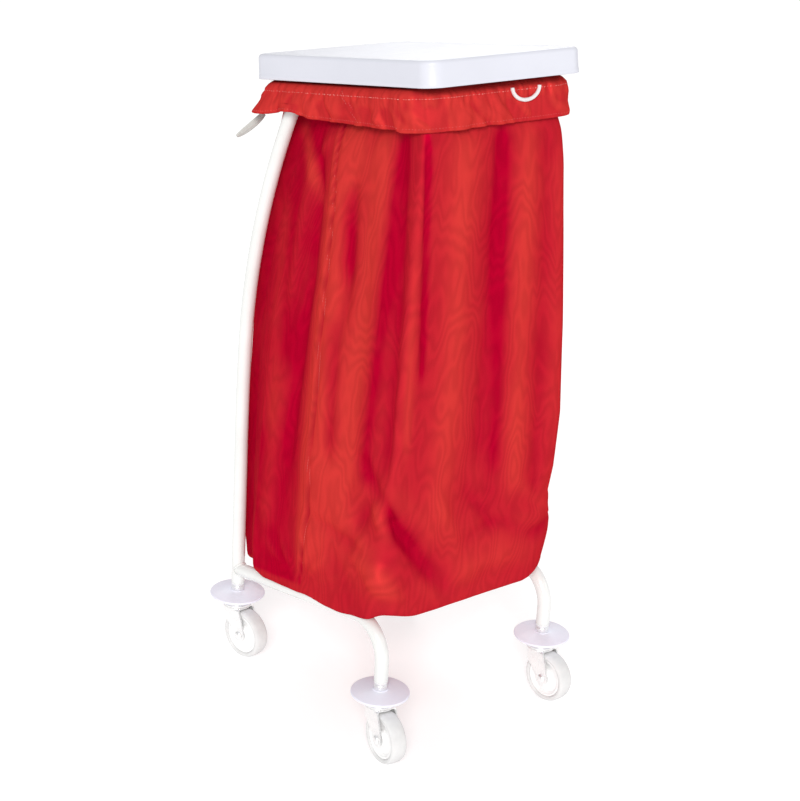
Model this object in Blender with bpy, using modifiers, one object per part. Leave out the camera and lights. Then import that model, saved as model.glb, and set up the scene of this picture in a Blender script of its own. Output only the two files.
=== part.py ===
"""Linen trolley: a wheeled tube frame that holds an open laundry bag under a hinged lid.

Metres, +Z up, X to the trolley's right and Y to its rear. The origin is on the floor,
under the middle of the whole trolley.
"""

import math

import bmesh
import bpy
from mathutils import Matrix, Vector

# Frame tube and the gap left between pieces that touch
TUBE_R = 0.010
TUBE_WALL = 0.0015
TUBE_SIDES = 12
FIT = 0.0003

# Castors: swivel axes, wheel and the heights of the stack above it
STEM_X = 0.1525
STEM_Y = 0.177
WHEEL_R = 0.0375
WHEEL_SEGMENTS = 20
TYRE_HALF = 0.012
RIM_R = 0.0295
TRAIL = 0.021
CASTOR_TURNS = {"front_left": -96.0, "front_right": -86.0, "rear_left": -81.0, "rear_right": -90.0}
FORK_INNER = 0.0135
FORK_SHEET = 0.0025
CROWN_R = 0.021
CROWN_Z = (0.0775, 0.0803)
HEAD_TOP = 0.0905
BUMPER_R = 0.0415
BUMPER_RIM_HALF = 0.002
BUMPER_TOP = 0.006
BUMPER_BOTTOM = -0.003
BUMPER_Z = 0.0985
TUBE_END_Z = 0.1165
PLUG_LENGTH = 0.022
SPINDLE_R = 0.0050
COLLAR_R = 0.0095
SPINDLE_BORE = 0.0056
AXLE_R = 0.0040
AXLE_BORE = 0.0045
BUSH_R = 0.0065
SMALL_SEGMENTS = 16

# Side frames: lower rails that rise towards the front, and uprights that lean forward
RAIL_REAR_Z = 0.1405
RAIL_SLOPE = math.radians(10.6)
RAIL_BEND_R = 0.050
UPRIGHT_BEND_Z = 0.497
UPRIGHT_BEND_R = 1.10
LEAN_IN_Z = 0.352
CROSS_R = 0.008
CROSS_REAR_Y = 0.135
CROSS_FRONT_Y = -0.100
RACK_WIRE_R = 0.003
RACK_WIRES = 4

# Mouth: the plane of the lid's lower edge, which rises towards the front
MOUTH_Y = 0.009
MOUTH_Z = 0.910
MOUTH_TILT = math.radians(8.9)
RING_R = 0.010
RING_X = 0.120
RING_FRONT = -0.163
RING_REAR = 0.174
RING_CORNER = 0.026
RING_W = -0.0145
UPRIGHT_V = 0.100

# Lid and its two hinges
LID_X = 0.133
LID_Y = 0.194
LID_H = 0.034
LID_WALL = 0.003
LID_CORNER = 0.024
LID_EDGE = 0.006
LID_DRAFT = 0.0012
HINGE_U = 0.070
HINGE_V = 0.2135
HINGE_W = -0.0065
HINGE_EYE_R = 0.006
HINGE_BORE = 0.0034
PIN_R = 0.0030
STRAP_HALF = 0.009
STRAP_W = (-0.0140, -0.0110)
LEAF_HALF = 0.020
LEAF_SHEET = 0.0028
LEAF_W = (0.004, 0.028)
LUG = (0.0094, 0.0142)
SCREW_W = (0.011, 0.022)
SCREW_HOLE = 0.0022
SCREW_SHANK = 0.0018
SCREW_REACH = 0.0075
SCREW_HEAD_R = 0.0040
SCREW_HEAD_H = 0.0022

# Bag, cuff, tie and drawcord
CLOTH = 0.002
CUFF_ARC_STEPS = 4
BAG_FLOOR_Z = 0.1838
BAG_TOP_W = -0.0250
BAG_FRONT_CORNER = 0.035
BAG_REAR_CORNER = 0.022
BAG_TUCK = 0.012
# Inner wall against the outer, inwards and upwards, for the rows round the floor's edge
BAG_EDGE = {0: (0.0, CLOTH), 1: (0.0010, 0.0018), 2: (0.0018, 0.0009)}
CORD_R = 0.0025
CORD_X = (0.014, 0.061)
CORD_SAG = 0.017

# The front wheels reach further forward than the rear bumpers do back
WHEEL_REACH = max(
    (TRAIL + WHEEL_R) * abs(math.sin(a)) + TYRE_HALF * abs(math.cos(a))
    for a in (math.radians(turn) for turn in CASTOR_TURNS.values())
)
CENTRE_Y = (WHEEL_REACH - BUMPER_R) / 2

MERGE = 0.00001


def clear_scene():
    for old in list(bpy.data.objects):
        bpy.data.objects.remove(old, do_unlink=True)


def new_collection(name):
    made = bpy.data.collections.new(name)
    bpy.context.scene.collection.children.link(made)
    return made


def new_material(name, colour, roughness, metallic=0.0):
    made = bpy.data.materials.new(name)
    made.use_nodes = True
    shader = made.node_tree.nodes["Principled BSDF"]
    shader.inputs["Base Color"].default_value = (*colour, 1.0)
    shader.inputs["Roughness"].default_value = roughness
    shader.inputs["Metallic"].default_value = metallic
    return made


clear_scene()
PARTS = new_collection("linen_trolley")
CUTTERS = new_collection("cutters")
ENAMEL = new_material("white_enamel", (0.86, 0.86, 0.86), 0.25)
STEEL = new_material("bright_steel", (0.72, 0.72, 0.73), 0.25, 1.0)
BUFFER = new_material("bumper_plastic", (0.82, 0.82, 0.88), 0.5)
TYRE = new_material("grey_tyre", (0.70, 0.70, 0.70), 0.7)
NYLON = new_material("wheel_nylon", (0.88, 0.88, 0.88), 0.45)
LID_PLASTIC = new_material("lid_plastic", (0.88, 0.89, 0.92), 0.35)
CLOTH_RED = new_material("bag_nylon", (0.60, 0.01, 0.03), 0.45)
WEBBING = new_material("tie_webbing", (0.60, 0.60, 0.58), 0.7)


def place(data, name, material, parent, location=(0, 0, 0), rotation=(0, 0, 0)):
    """A named object in the trolley's collection."""
    made = bpy.data.objects.new(name, data)
    PARTS.objects.link(made)
    data.materials.append(material)
    made.parent = parent
    made.location = location
    made.rotation_euler = rotation
    return made


def as_cutter(made):
    """Move an object to the cutters, out of the model."""
    PARTS.objects.unlink(made)
    CUTTERS.objects.link(made)
    made.hide_render = True
    made.display_type = "WIRE"
    return made


def anchor(name, parent=None, location=(0, 0, 0), rotation=(0, 0, 0)):
    made = bpy.data.objects.new(name, None)
    PARTS.objects.link(made)
    made.parent = parent
    made.location = location
    made.rotation_euler = rotation
    return made


def smooth(mesh):
    mesh.shade_smooth()
    mesh.set_sharp_from_angle(angle=math.radians(35))


def mesh_from(verts, edges=(), faces=()):
    mesh = bpy.data.meshes.new("shape")
    mesh.from_pydata([tuple(v) for v in verts], list(edges), list(faces))
    return mesh


def turned(name, profile, material, parent, segments, closed=True, **where):
    """A profile of (radius, height) points, turned about the object's Z axis."""
    count = len(profile)
    edges = [(i, i + 1) for i in range(count - 1)]
    if closed:
        edges.append((count - 1, 0))
    mesh = mesh_from([(r, 0, z) for r, z in profile], edges)
    made = place(mesh, name, material, parent, **where)
    screw = made.modifiers.new("Turn", "SCREW")
    screw.angle = 2 * math.pi
    screw.steps = segments
    screw.render_steps = segments
    screw.use_merge_vertices = True
    screw.merge_threshold = MERGE
    screw.use_smooth_shade = True
    return made


def box(name, low, high, material, parent, **where):
    mesh = bpy.data.meshes.new("box")
    bm = bmesh.new()
    bmesh.ops.create_cube(bm, size=1)
    low, high = Vector(low), Vector(high)
    bmesh.ops.scale(bm, vec=high - low, verts=bm.verts)
    bmesh.ops.translate(bm, vec=(high + low) / 2, verts=bm.verts)
    bm.to_mesh(mesh)
    bm.free()
    return place(mesh, name, material, parent, **where)


def rod(name, start, end, radius, material, parent, segments=TUBE_SIDES, **where):
    """A solid round bar between two points."""
    start, end = Vector(start), Vector(end)
    run = end - start
    turn = run.to_track_quat("Z", "X").to_matrix().to_4x4()
    mesh = bpy.data.meshes.new("rod")
    bm = bmesh.new()
    bmesh.ops.create_cone(
        bm, cap_ends=True, segments=segments, radius1=radius, radius2=radius, depth=run.length,
        matrix=Matrix.Translation((start + end) / 2) @ turn,
    )
    bm.to_mesh(mesh)
    bm.free()
    smooth(mesh)
    return place(mesh, name, material, parent, **where)


def curve_object(name, points, radius, material, parent, caps=True, sides=TUBE_SIDES, **where):
    """A round bar or open tube wall along a chain of points."""
    curve = bpy.data.curves.new("path", "CURVE")
    curve.dimensions = "3D"
    curve.bevel_depth = radius
    curve.bevel_resolution = sides // 2 - 2
    curve.use_fill_caps = caps
    spline = curve.splines.new("POLY")
    spline.points.add(len(points) - 1)
    for point, at in zip(spline.points, points):
        point.co = (*at, 1.0)
    return place(curve, name, material, parent, **where)


def tube(name, points, radius, material, parent, sides=TUBE_SIDES, **where):
    """A hollow tube, as a mesh that booleans can cut."""
    wall = curve_object("wall", points, radius, material, parent, False, sides, **where)
    depsgraph = bpy.context.evaluated_depsgraph_get()
    mesh = bpy.data.meshes.new_from_object(wall.evaluated_get(depsgraph))
    bpy.data.objects.remove(wall, do_unlink=True)
    mesh.materials.clear()
    smooth(mesh)
    made = place(mesh, name, material, parent, **where)
    solid = made.modifiers.new("Wall", "SOLIDIFY")
    solid.thickness = TUBE_WALL
    solid.offset = -1.0
    return made


def outline_object(name, points, half, material, parent, **where):
    """A flat outline in the object's XY plane, thickened by half each way."""
    curve = bpy.data.curves.new("outline", "CURVE")
    curve.dimensions = "2D"
    curve.fill_mode = "BOTH"
    curve.extrude = half
    spline = curve.splines.new("POLY")
    spline.use_cyclic_u = True
    spline.points.add(len(points) - 1)
    for point, (x, y) in zip(spline.points, points):
        point.co = (x, y, 0.0, 1.0)
    flat = place(curve, "outline", material, parent, **where)
    bpy.context.view_layer.update()
    depsgraph = bpy.context.evaluated_depsgraph_get()
    mesh = bpy.data.meshes.new_from_object(flat.evaluated_get(depsgraph))
    bpy.data.objects.remove(flat, do_unlink=True)
    bm = bmesh.new()
    bm.from_mesh(mesh)
    bmesh.ops.remove_doubles(bm, verts=bm.verts, dist=MERGE)
    bm.to_mesh(mesh)
    bm.free()
    mesh.materials.clear()
    return place(mesh, name, material, parent, **where)


def boolean(target, tool, operation):
    step = target.modifiers.new(operation.title(), "BOOLEAN")
    step.operation = operation
    step.object = tool
    step.solver = "EXACT"


def fillet(before, corner, after, radius, steps):
    """Points of an arc that rounds one corner of a chain, in 2D or 3D."""
    back = (before - corner).normalized()
    on = (after - corner).normalized()
    half = back.angle(on) / 2
    reach = radius / math.tan(half)
    middle = corner + (back + on).normalized() * (radius / math.sin(half))
    first = corner + back * reach - middle
    last = corner + on * reach - middle
    turn = first.angle(last)
    points = []
    for i in range(steps + 1):
        t = turn * i / steps
        spread = (first * math.sin(turn - t) + last * math.sin(t)) / math.sin(turn)
        points.append(middle + spread)
    return points


def rounded_outline(corners, radii, arc_steps, side_steps):
    """A closed outline of (x, y) points, with the same count for the same steps."""
    corners = [Vector((x, y, 0.0)) for x, y in corners]
    count = len(corners)
    arcs = [
        fillet(corners[i - 1], corners[i], corners[(i + 1) % count], radii[i], arc_steps)
        for i in range(count)
    ]
    points = []
    for i, arc in enumerate(arcs):
        points += arc
        start, end = arc[-1], arcs[(i + 1) % count][0]
        points += [start.lerp(end, k / side_steps) for k in range(1, side_steps)]
    return [(p.x, p.y) for p in points]


def box_corners(half_x, front, rear):
    """Counter-clockwise corners, from the front left."""
    return [(-half_x, front), (half_x, front), (half_x, rear), (-half_x, rear)]


def loft(rows, cap_first=False, cap_last=False):
    """Quads between rows of equal length, each row a closed loop."""
    count = len(rows[0])
    verts = [v for row in rows for v in row]
    faces = []
    for r in range(len(rows) - 1):
        low, high = r * count, (r + 1) * count
        for i in range(count):
            j = (i + 1) % count
            faces.append((low + i, low + j, high + j, high + i))
    if cap_first:
        faces.append(tuple(reversed(range(count))))
    if cap_last:
        faces.append(tuple(range((len(rows) - 1) * count, len(rows) * count)))
    return mesh_from(verts, faces=faces)


def shell(name, mesh, thickness, material, parent, **where):
    smooth(mesh)
    made = place(mesh, name, material, parent, **where)
    solid = made.modifiers.new("Thickness", "SOLIDIFY")
    solid.thickness = thickness
    solid.offset = -1.0
    solid.use_even_offset = True
    return made


def mirrored(profile):
    """A closed half-section in (radius, height), completed below its mid-plane."""
    return profile + [(r, -z) for r, z in reversed(profile) if z > 0]


# ---- Castors ----

def make_stem(where, tag):
    """Spindle, shoulder, collar and the plug that holds it in the tube's end."""
    shoulder = BUMPER_Z + BUMPER_BOTTOM - FIT
    collar = BUMPER_Z + BUMPER_TOP + FIT
    plug_r = TUBE_R - TUBE_WALL - 0.0007
    profile = [
        (0.0, TUBE_END_Z + PLUG_LENGTH), (plug_r - 0.001, TUBE_END_Z + PLUG_LENGTH),
        (plug_r, TUBE_END_Z + PLUG_LENGTH - 0.002), (plug_r, TUBE_END_Z - FIT),
        (COLLAR_R, TUBE_END_Z - FIT), (COLLAR_R, collar),
        (SPINDLE_R, collar), (SPINDLE_R, shoulder), (0.0130, shoulder),
        (0.0130, HEAD_TOP + FIT), (SPINDLE_R, HEAD_TOP + FIT),
        (SPINDLE_R, CROWN_Z[0] - FIT), (0.0085, CROWN_Z[0] - FIT),
        (0.0070, CROWN_Z[0] - 0.0035), (0.0, CROWN_Z[0] - 0.0035),
    ]
    turned("castor_stem_" + tag, profile, STEEL, where, TUBE_SIDES, closed=False)


def make_bumper(where, tag):
    rim = BUMPER_R - BUMPER_RIM_HALF
    edge = [
        (rim + BUMPER_RIM_HALF * math.sin(a), BUMPER_RIM_HALF * math.cos(a))
        for a in (math.radians(d) for d in (0, 45, 90, 135, 180))
    ]
    profile = [(SPINDLE_BORE, BUMPER_TOP), (0.0150, BUMPER_TOP), (0.0280, BUMPER_TOP - 0.0012)] + edge
    profile += [(0.0200, BUMPER_BOTTOM), (SPINDLE_BORE, BUMPER_BOTTOM)]
    turned("bumper_" + tag, profile, BUFFER, where, WHEEL_SEGMENTS, location=(0, 0, BUMPER_Z))


def make_head(swivel, tag):
    low = CROWN_Z[1] + FIT
    profile = [
        (SPINDLE_BORE, HEAD_TOP), (0.0150, HEAD_TOP), (0.0195, HEAD_TOP - 0.003),
        (CROWN_R, low + 0.004), (CROWN_R, low), (SPINDLE_BORE, low),
    ]
    turned("swivel_head_" + tag, profile, STEEL, swivel, SMALL_SEGMENTS)


def leg_outline():
    """One fork leg seen from the side, from the crown down to the axle's eye."""
    eye_r = 0.010
    top = CROWN_Z[1] - 0.0004
    points = [(-0.0110, top - 0.020), (-0.0110, top), (0.0180, top), (0.0260, top - 0.020)]
    start, sweep, steps = math.radians(20), math.radians(-215), 8
    for i in range(steps + 1):
        a = start + sweep * i / steps
        points.append((TRAIL + eye_r * math.cos(a), WHEEL_R + eye_r * math.sin(a)))
    return points


def make_fork(swivel, tag):
    profile = [
        (SPINDLE_BORE, CROWN_Z[1]), (CROWN_R, CROWN_Z[1]), (CROWN_R, CROWN_Z[0]), (SPINDLE_BORE, CROWN_Z[0]),
    ]
    fork = turned("fork_" + tag, profile, STEEL, swivel, SMALL_SEGMENTS)
    middle = FORK_INNER + FORK_SHEET / 2
    for side in (-1, 1):
        leg = outline_object(
            "fork_leg", leg_outline(), FORK_SHEET / 2, STEEL, swivel,
            location=(0, side * middle, 0), rotation=(math.pi / 2, 0, 0),
        )
        boolean(fork, as_cutter(leg), "UNION")
    reach = FORK_INNER + FORK_SHEET + 0.002
    hole = rod(
        "axle_hole", (TRAIL, -reach, WHEEL_R), (TRAIL, reach, WHEEL_R), AXLE_R + 0.0004, STEEL, swivel,
    )
    boolean(fork, as_cutter(hole), "DIFFERENCE")


def make_axle(swivel, tag):
    """Axle bolt with a round head one side and a nut on the other, as one turned group."""
    out = FORK_INNER + FORK_SHEET + FIT
    bolt = [
        (0.0, out + 0.0035), (0.0055, out + 0.0035), (0.0068, out + 0.0020), (0.0068, out),
        (AXLE_R, out), (AXLE_R, -out - 0.0055), (0.0, -out - 0.0055),
    ]
    lay = {"location": (TRAIL, 0, WHEEL_R), "rotation": (math.pi / 2, 0, 0)}
    axle = turned("axle_bolt_" + tag, bolt, STEEL, swivel, TUBE_SIDES, closed=False, **lay)
    nut = turned(
        "nut", [(AXLE_R - 0.0005, -out), (0.0065, -out), (0.0065, -out - 0.0045), (AXLE_R - 0.0005, -out - 0.0045)],
        STEEL, swivel, 6, **lay,
    )
    boolean(axle, as_cutter(nut), "UNION")


def make_wheel(spin, tag):
    lay = {"rotation": (math.pi / 2, 0, 0)}
    hub_half = FORK_INNER - 0.001
    rim = mirrored([
        (BUSH_R + FIT, hub_half - 0.0006), (0.0115, hub_half - 0.0006), (0.0125, 0.0050),
        (0.0240, 0.0050), (0.0260, 0.0095), (RIM_R, 0.0095),
    ])
    turned("wheel_rim_" + tag, rim, NYLON, spin, WHEEL_SEGMENTS, **lay)
    tread = [
        (RIM_R + FIT, TYRE_HALF - 0.0017), (RIM_R + 0.0030, TYRE_HALF), (WHEEL_R - 0.0022, TYRE_HALF - 0.0012),
        (WHEEL_R - 0.0004, TYRE_HALF - 0.0050),
    ]
    tyre = tread + [(WHEEL_R, 0.0)] + [(r, -z) for r, z in reversed(tread)]
    turned("tyre_" + tag, tyre, TYRE, spin, WHEEL_SEGMENTS, **lay)
    bush = [(AXLE_BORE, hub_half), (BUSH_R, hub_half), (BUSH_R, -hub_half), (AXLE_BORE, -hub_half)]
    turned("wheel_bush_" + tag, bush, STEEL, spin, SMALL_SEGMENTS, **lay)


def make_castor(root, x, y, tag):
    where = anchor("castor_" + tag, root, (x, y, 0))
    make_stem(where, tag)
    make_bumper(where, tag)
    swivel = anchor("swivel_" + tag, where, rotation=(0, 0, math.radians(CASTOR_TURNS[tag])))
    make_head(swivel, tag)
    make_fork(swivel, tag)
    make_axle(swivel, tag)
    make_wheel(anchor("spin_" + tag, swivel, (TRAIL, 0, WHEEL_R)), tag)


# ---- Frame ----

def rail_z(y):
    """Height of a lower rail's centre line at a place along its straight run."""
    return RAIL_REAR_Z + (STEM_Y - TUBE_R - y) * math.tan(RAIL_SLOPE)


def rail_points(x):
    rear = Vector((x, STEM_Y - TUBE_R / 2, rail_z(STEM_Y - TUBE_R / 2)))
    corner = Vector((x, -STEM_Y, rail_z(-STEM_Y)))
    foot = Vector((x, -STEM_Y, TUBE_END_Z))
    return [rear] + fillet(rear, corner, foot, RAIL_BEND_R, 7) + [foot]


def mouth_point(u, v, w):
    """Trolley coordinates of a point given in the mouth's own axes."""
    c, s = math.cos(MOUTH_TILT), math.sin(MOUTH_TILT)
    return Vector((u, MOUTH_Y + v * c + w * s, MOUTH_Z - v * s + w * c))


def upright_at(z):
    """(x, y) of an upright's centre line: straight, then a wide arc forward that leans in."""
    top = mouth_point(RING_X, UPRIGHT_V, RING_W)

    def sag(height):
        rise = max(0.0, height - UPRIGHT_BEND_Z)
        return UPRIGHT_BEND_R - math.sqrt(UPRIGHT_BEND_R**2 - rise**2)

    lean = (STEM_X - RING_X) * (max(0.0, z - LEAN_IN_Z) / (top.z - LEAN_IN_Z)) ** 2
    return STEM_X - lean, STEM_Y - (STEM_Y - top.y) * sag(z) / sag(top.z)


def upright_points(side):
    top = mouth_point(RING_X, UPRIGHT_V, RING_W).z
    steps = 10
    heights = [TUBE_END_Z] + [LEAN_IN_Z + (top - LEAN_IN_Z) * i / steps for i in range(steps + 1)]
    return [Vector((side * upright_at(z)[0], upright_at(z)[1], z)) for z in heights]


def ring_points(u_half, front, rear, corner, w, seam):
    """An open chain round the mouth, from the rear seam and back to it."""
    corners = [(u_half, rear), (u_half, front), (-u_half, front), (-u_half, rear)]
    chain = [Vector((seam, rear, w))]
    stops = [Vector((x, y, w)) for x, y in corners]
    around = [Vector((0, rear, w))] + stops + [Vector((0, rear, w))]
    for i in range(1, 5):
        chain += fillet(around[i - 1], around[i], around[i + 1], corner, CUFF_ARC_STEPS)
    return chain + [Vector((-seam, rear, w))]


def make_frame(root, mouth):
    tube(
        "mouth_ring", ring_points(RING_X, RING_FRONT, RING_REAR, RING_CORNER, RING_W, FIT),
        RING_R, ENAMEL, mouth, sides=10,
    )
    for side, tag in ((-1, "left"), (1, "right")):
        upright = tube("upright_" + tag, upright_points(side), TUBE_R, ENAMEL, root)
        ring_cut = rod(
            "ring_cut", (side * RING_X, RING_FRONT, RING_W), (side * RING_X, RING_REAR, RING_W),
            RING_R + FIT, ENAMEL, mouth, segments=20,
        )
        boolean(upright, as_cutter(ring_cut), "DIFFERENCE")
        rail = tube("lower_rail_" + tag, rail_points(side * STEM_X), TUBE_R, ENAMEL, root)
        upright_cut = rod(
            "upright_cut", (side * STEM_X, STEM_Y, TUBE_END_Z), (side * STEM_X, STEM_Y, RAIL_REAR_Z + 0.06),
            TUBE_R + FIT, ENAMEL, root, segments=20,
        )
        boolean(rail, as_cutter(upright_cut), "DIFFERENCE")
    make_cross_pieces(root)


def rail_cutters(root):
    """Solid bars a little fatter than the rails, that cope whatever runs between them."""
    cutters = []
    for side in (-1, 1):
        ends = [Vector((side * STEM_X, y, rail_z(y))) for y in (STEM_Y, -STEM_Y)]
        cutters.append(as_cutter(rod("rail_cut", *ends, TUBE_R + FIT, ENAMEL, root, segments=20)))
    return cutters


def make_cross_pieces(root):
    cutters = rail_cutters(root)
    for tag, y in (("rear", CROSS_REAR_Y), ("front", CROSS_FRONT_Y)):
        ends = [Vector((side * (STEM_X - TUBE_R / 2), y, rail_z(y))) for side in (-1, 1)]
        cross = tube("cross_tube_" + tag, ends, CROSS_R, ENAMEL, root, sides=10)
        for cutter in cutters:
            boolean(cross, cutter, "DIFFERENCE")
    lift = TUBE_R - RACK_WIRE_R - 0.001
    span = CROSS_REAR_Y - CROSS_FRONT_Y
    for i in range(RACK_WIRES):
        y = CROSS_FRONT_Y + span * (i + 1) / (RACK_WIRES + 1)
        z = rail_z(y) + lift
        side_reach = STEM_X - math.sqrt((TUBE_R + FIT) ** 2 - (lift - RACK_WIRE_R) ** 2)
        rod(
            f"rack_wire_{i + 1}", (-side_reach, y, z), (side_reach, y, z), RACK_WIRE_R, ENAMEL, root, segments=8,
        )


# ---- Lid and hinges ----

def lid_rows():
    rows = [(0.0, 0.0), (LID_H - LID_EDGE, LID_DRAFT)]
    for degrees in (30, 60, 90):
        a = math.radians(degrees)
        rows.append((LID_H - LID_EDGE + LID_EDGE * math.sin(a), LID_DRAFT + LID_EDGE * (1 - math.cos(a))))
    return rows


def make_lid(mouth, screw_cutters):
    loops = []
    for w, inset in lid_rows():
        corners = box_corners(LID_X - inset, -LID_Y + inset, LID_Y - inset)
        outline = rounded_outline(corners, [LID_CORNER - inset] * 4, 6, 1)
        loops.append([(x, y, w) for x, y in outline])
    lid = shell("lid", loft(loops, cap_last=True), LID_WALL, LID_PLASTIC, mouth)
    for cutter in screw_cutters:
        boolean(lid, cutter, "DIFFERENCE")


def hinge_screw_cutters(mouth):
    cutters = []
    for u in (-HINGE_U, HINGE_U):
        for w in SCREW_W:
            hole = rod(
                "screw_hole", (u, LID_Y - 0.008, w), (u, LID_Y + 0.008, w), SCREW_HOLE, STEEL, mouth, segments=8,
            )
            cutters.append(as_cutter(hole))
    return cutters


def lug_outline():
    """A lug from the leaf down to the eye, in the (v, w) plane."""
    front = LID_Y + FIT
    points = [(front, LEAF_W[0]), (front, LEAF_W[1] - 0.004)]
    start, sweep, steps = math.radians(50), math.radians(-210), 8
    for i in range(steps + 1):
        a = start + sweep * i / steps
        points.append((HINGE_V + HINGE_EYE_R * math.cos(a), HINGE_W + HINGE_EYE_R * math.sin(a)))
    return points


def make_hinge(mouth, u, tag, screw_cutters):
    across = {"rotation": (0, math.pi / 2, 0)}
    eye = [(HINGE_BORE, STRAP_HALF), (HINGE_EYE_R, STRAP_HALF), (HINGE_EYE_R, -STRAP_HALF), (HINGE_BORE, -STRAP_HALF)]
    bracket = turned(
        "hinge_bracket_" + tag, eye, STEEL, mouth, TUBE_SIDES, location=(u, HINGE_V, HINGE_W), **across,
    )
    strap = box(
        "strap", (u - STRAP_HALF, RING_REAR + RING_R + FIT, STRAP_W[0]), (u + STRAP_HALF, HINGE_V, STRAP_W[1]),
        STEEL, mouth,
    )
    boolean(bracket, as_cutter(strap), "UNION")
    leaf_front = LID_Y + FIT
    leaf = box(
        "hinge_leaf_" + tag, (u - LEAF_HALF, leaf_front, LEAF_W[0]), (u + LEAF_HALF, leaf_front + LEAF_SHEET, LEAF_W[1]),
        STEEL, mouth,
    )
    for side in (-1, 1):
        lug = outline_object(
            "lug", lug_outline(), (LUG[1] - LUG[0]) / 2, STEEL, mouth,
            location=(u + side * sum(LUG) / 2, 0, 0), rotation=(math.pi / 2, 0, math.pi / 2),
        )
        boolean(leaf, as_cutter(lug), "UNION")
    bore = rod(
        "pin_hole", (u - LEAF_HALF, HINGE_V, HINGE_W), (u + LEAF_HALF, HINGE_V, HINGE_W), HINGE_BORE, STEEL, mouth,
    )
    for cutter in [as_cutter(bore)] + screw_cutters:
        boolean(leaf, cutter, "DIFFERENCE")
    head = LUG[1] + FIT
    pin = [
        (0.0, head + 0.002), (0.0045, head + 0.002), (0.0045, head), (PIN_R, head),
        (PIN_R, -head), (0.0045, -head), (0.0045, -head - 0.002), (0.0, -head - 0.002),
    ]
    turned(
        "hinge_pin_" + tag, pin, STEEL, mouth, TUBE_SIDES, closed=False, location=(u, HINGE_V, HINGE_W), **across,
    )


def make_screws(mouth):
    face = LID_Y + FIT + LEAF_SHEET + FIT
    profile = [
        (0.0, SCREW_HEAD_H), (SCREW_HEAD_R * 0.6, SCREW_HEAD_H), (SCREW_HEAD_R, SCREW_HEAD_H * 0.4),
        (SCREW_HEAD_R, 0.0), (SCREW_SHANK, 0.0), (SCREW_SHANK, -SCREW_REACH), (0.0, -SCREW_REACH),
    ]
    for u, tag in ((-HINGE_U, "left"), (HINGE_U, "right")):
        for w, level in zip(SCREW_W, ("low", "high")):
            turned(
                f"hinge_screw_{tag}_{level}", profile, STEEL, mouth, 8, closed=False,
                location=(u, face, w), rotation=(-math.pi / 2, 0, 0),
            )


# ---- Bag ----

def cuff_section(u, v):
    """(outward offset, height) rows of the cuff's outer face, where the ring passes (u, v)."""
    at_upright = math.exp(-(((v - UPRIGHT_V) / 0.035) ** 2)) if abs(u) > RING_X * 0.9 else 0.0
    front = (RING_REAR - v) / (RING_REAR - RING_FRONT)
    drop = 0.043 + 0.011 * front - 0.009 * at_upright
    at_corner = math.exp(-(((v - RING_REAR) / 0.045) ** 2)) * min(1.0, abs(u) / RING_X)
    bulge = 0.014 * max(at_upright, at_corner)
    face = (RING_R + FIT + CLOTH) / math.cos(math.radians(22.5))
    over = [
        (-face * math.cos(math.radians(a)), RING_W + face * math.sin(math.radians(a)))
        for a in (0, 45, 90, 135, 180)
    ]
    outer = [(face + 0.001 + 0.6 * bulge, -0.026), (face + 0.002 + bulge, -drop)]
    return [(-face, RING_W - 0.008)] + over + outer


def make_cuff(mouth):
    corners = box_corners(RING_X, RING_FRONT, RING_REAR)
    rows = []
    for k in range(8):
        row = []
        outline = rounded_outline(corners, [RING_CORNER] * 4, CUFF_ARC_STEPS, 9)
        for i, (u, v) in enumerate(outline):
            ahead, behind = Vector(outline[(i + 1) % len(outline)]), Vector(outline[i - 1])
            run = (ahead - behind).normalized()
            offset, w = cuff_section(u, v)[k]
            row.append((u + run.y * offset, v - run.x * offset, w))
        rows.append(row)
    rows.reverse()
    cuff = shell("bag_cuff", loft(rows), CLOTH, CLOTH_RED, mouth)
    for u in (-HINGE_U, HINGE_U):
        slit = box(
            "hinge_slit", (u - STRAP_HALF - 0.003, RING_REAR + 0.003, -0.07),
            (u + STRAP_HALF + 0.003, RING_REAR + 0.04, STRAP_W[1] + 0.0025), CLOTH_RED, mouth,
        )
        boolean(cuff, as_cutter(slit), "DIFFERENCE")


def bag_sections():
    """(height at mid-depth, slope, front, side and rear half-widths, front y, rear y), floor first."""
    floor, slope, tilt = BAG_FLOOR_Z, math.tan(RAIL_SLOPE), math.tan(MOUTH_TILT)
    inside = RING_R + FIT
    top = MOUTH_Z + MOUTH_Y * tilt + BAG_TOP_W / math.cos(MOUTH_TILT)
    top_x = RING_X - inside
    front = mouth_point(0, RING_FRONT + inside, BAG_TOP_W).y
    rear = mouth_point(0, RING_REAR - inside, BAG_TOP_W).y
    return [
        (floor, slope, 0.145, 0.138, 0.118, -0.162, 0.162),
        (floor + 0.003, slope, 0.160, 0.155, 0.132, -0.176, 0.180),
        (floor + 0.012, slope, 0.169, 0.167, 0.138, -0.185, 0.191),
        (0.232, slope, 0.170, 0.169, 0.139, -0.189, 0.196),
        (0.315, tilt, 0.164, 0.163, 0.139, -0.189, 0.198),
        (0.417, tilt, 0.160, 0.158, 0.138, -0.187, 0.198),
        (0.562, tilt, 0.150, 0.147, 0.133, -0.184, 0.196),
        (0.652, tilt, 0.142, 0.138, 0.127, -0.181, 0.193),
        (0.722, tilt, 0.136, 0.131, 0.121, -0.178, 0.190),
        (0.792, tilt, 0.132, 0.124, 0.114, -0.175, 0.186),
        (0.837, tilt, 0.127, 0.119, 0.109, -0.171, 0.182),
        (0.865, tilt, 0.120, 0.114, 0.107, -0.164, 0.175),
        (top, tilt, top_x, top_x + 0.0008, top_x, front, rear),
    ]


def inset(outline, depth):
    """The outline moved inwards by one depth all round."""
    made = []
    for i, (x, y) in enumerate(outline):
        ahead, behind = outline[(i + 1) % len(outline)], outline[i - 1]
        along = Vector((ahead[0] - behind[0], ahead[1] - behind[1])).normalized()
        made.append((x - along.y * depth, y + along.x * depth))
    return made


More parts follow.
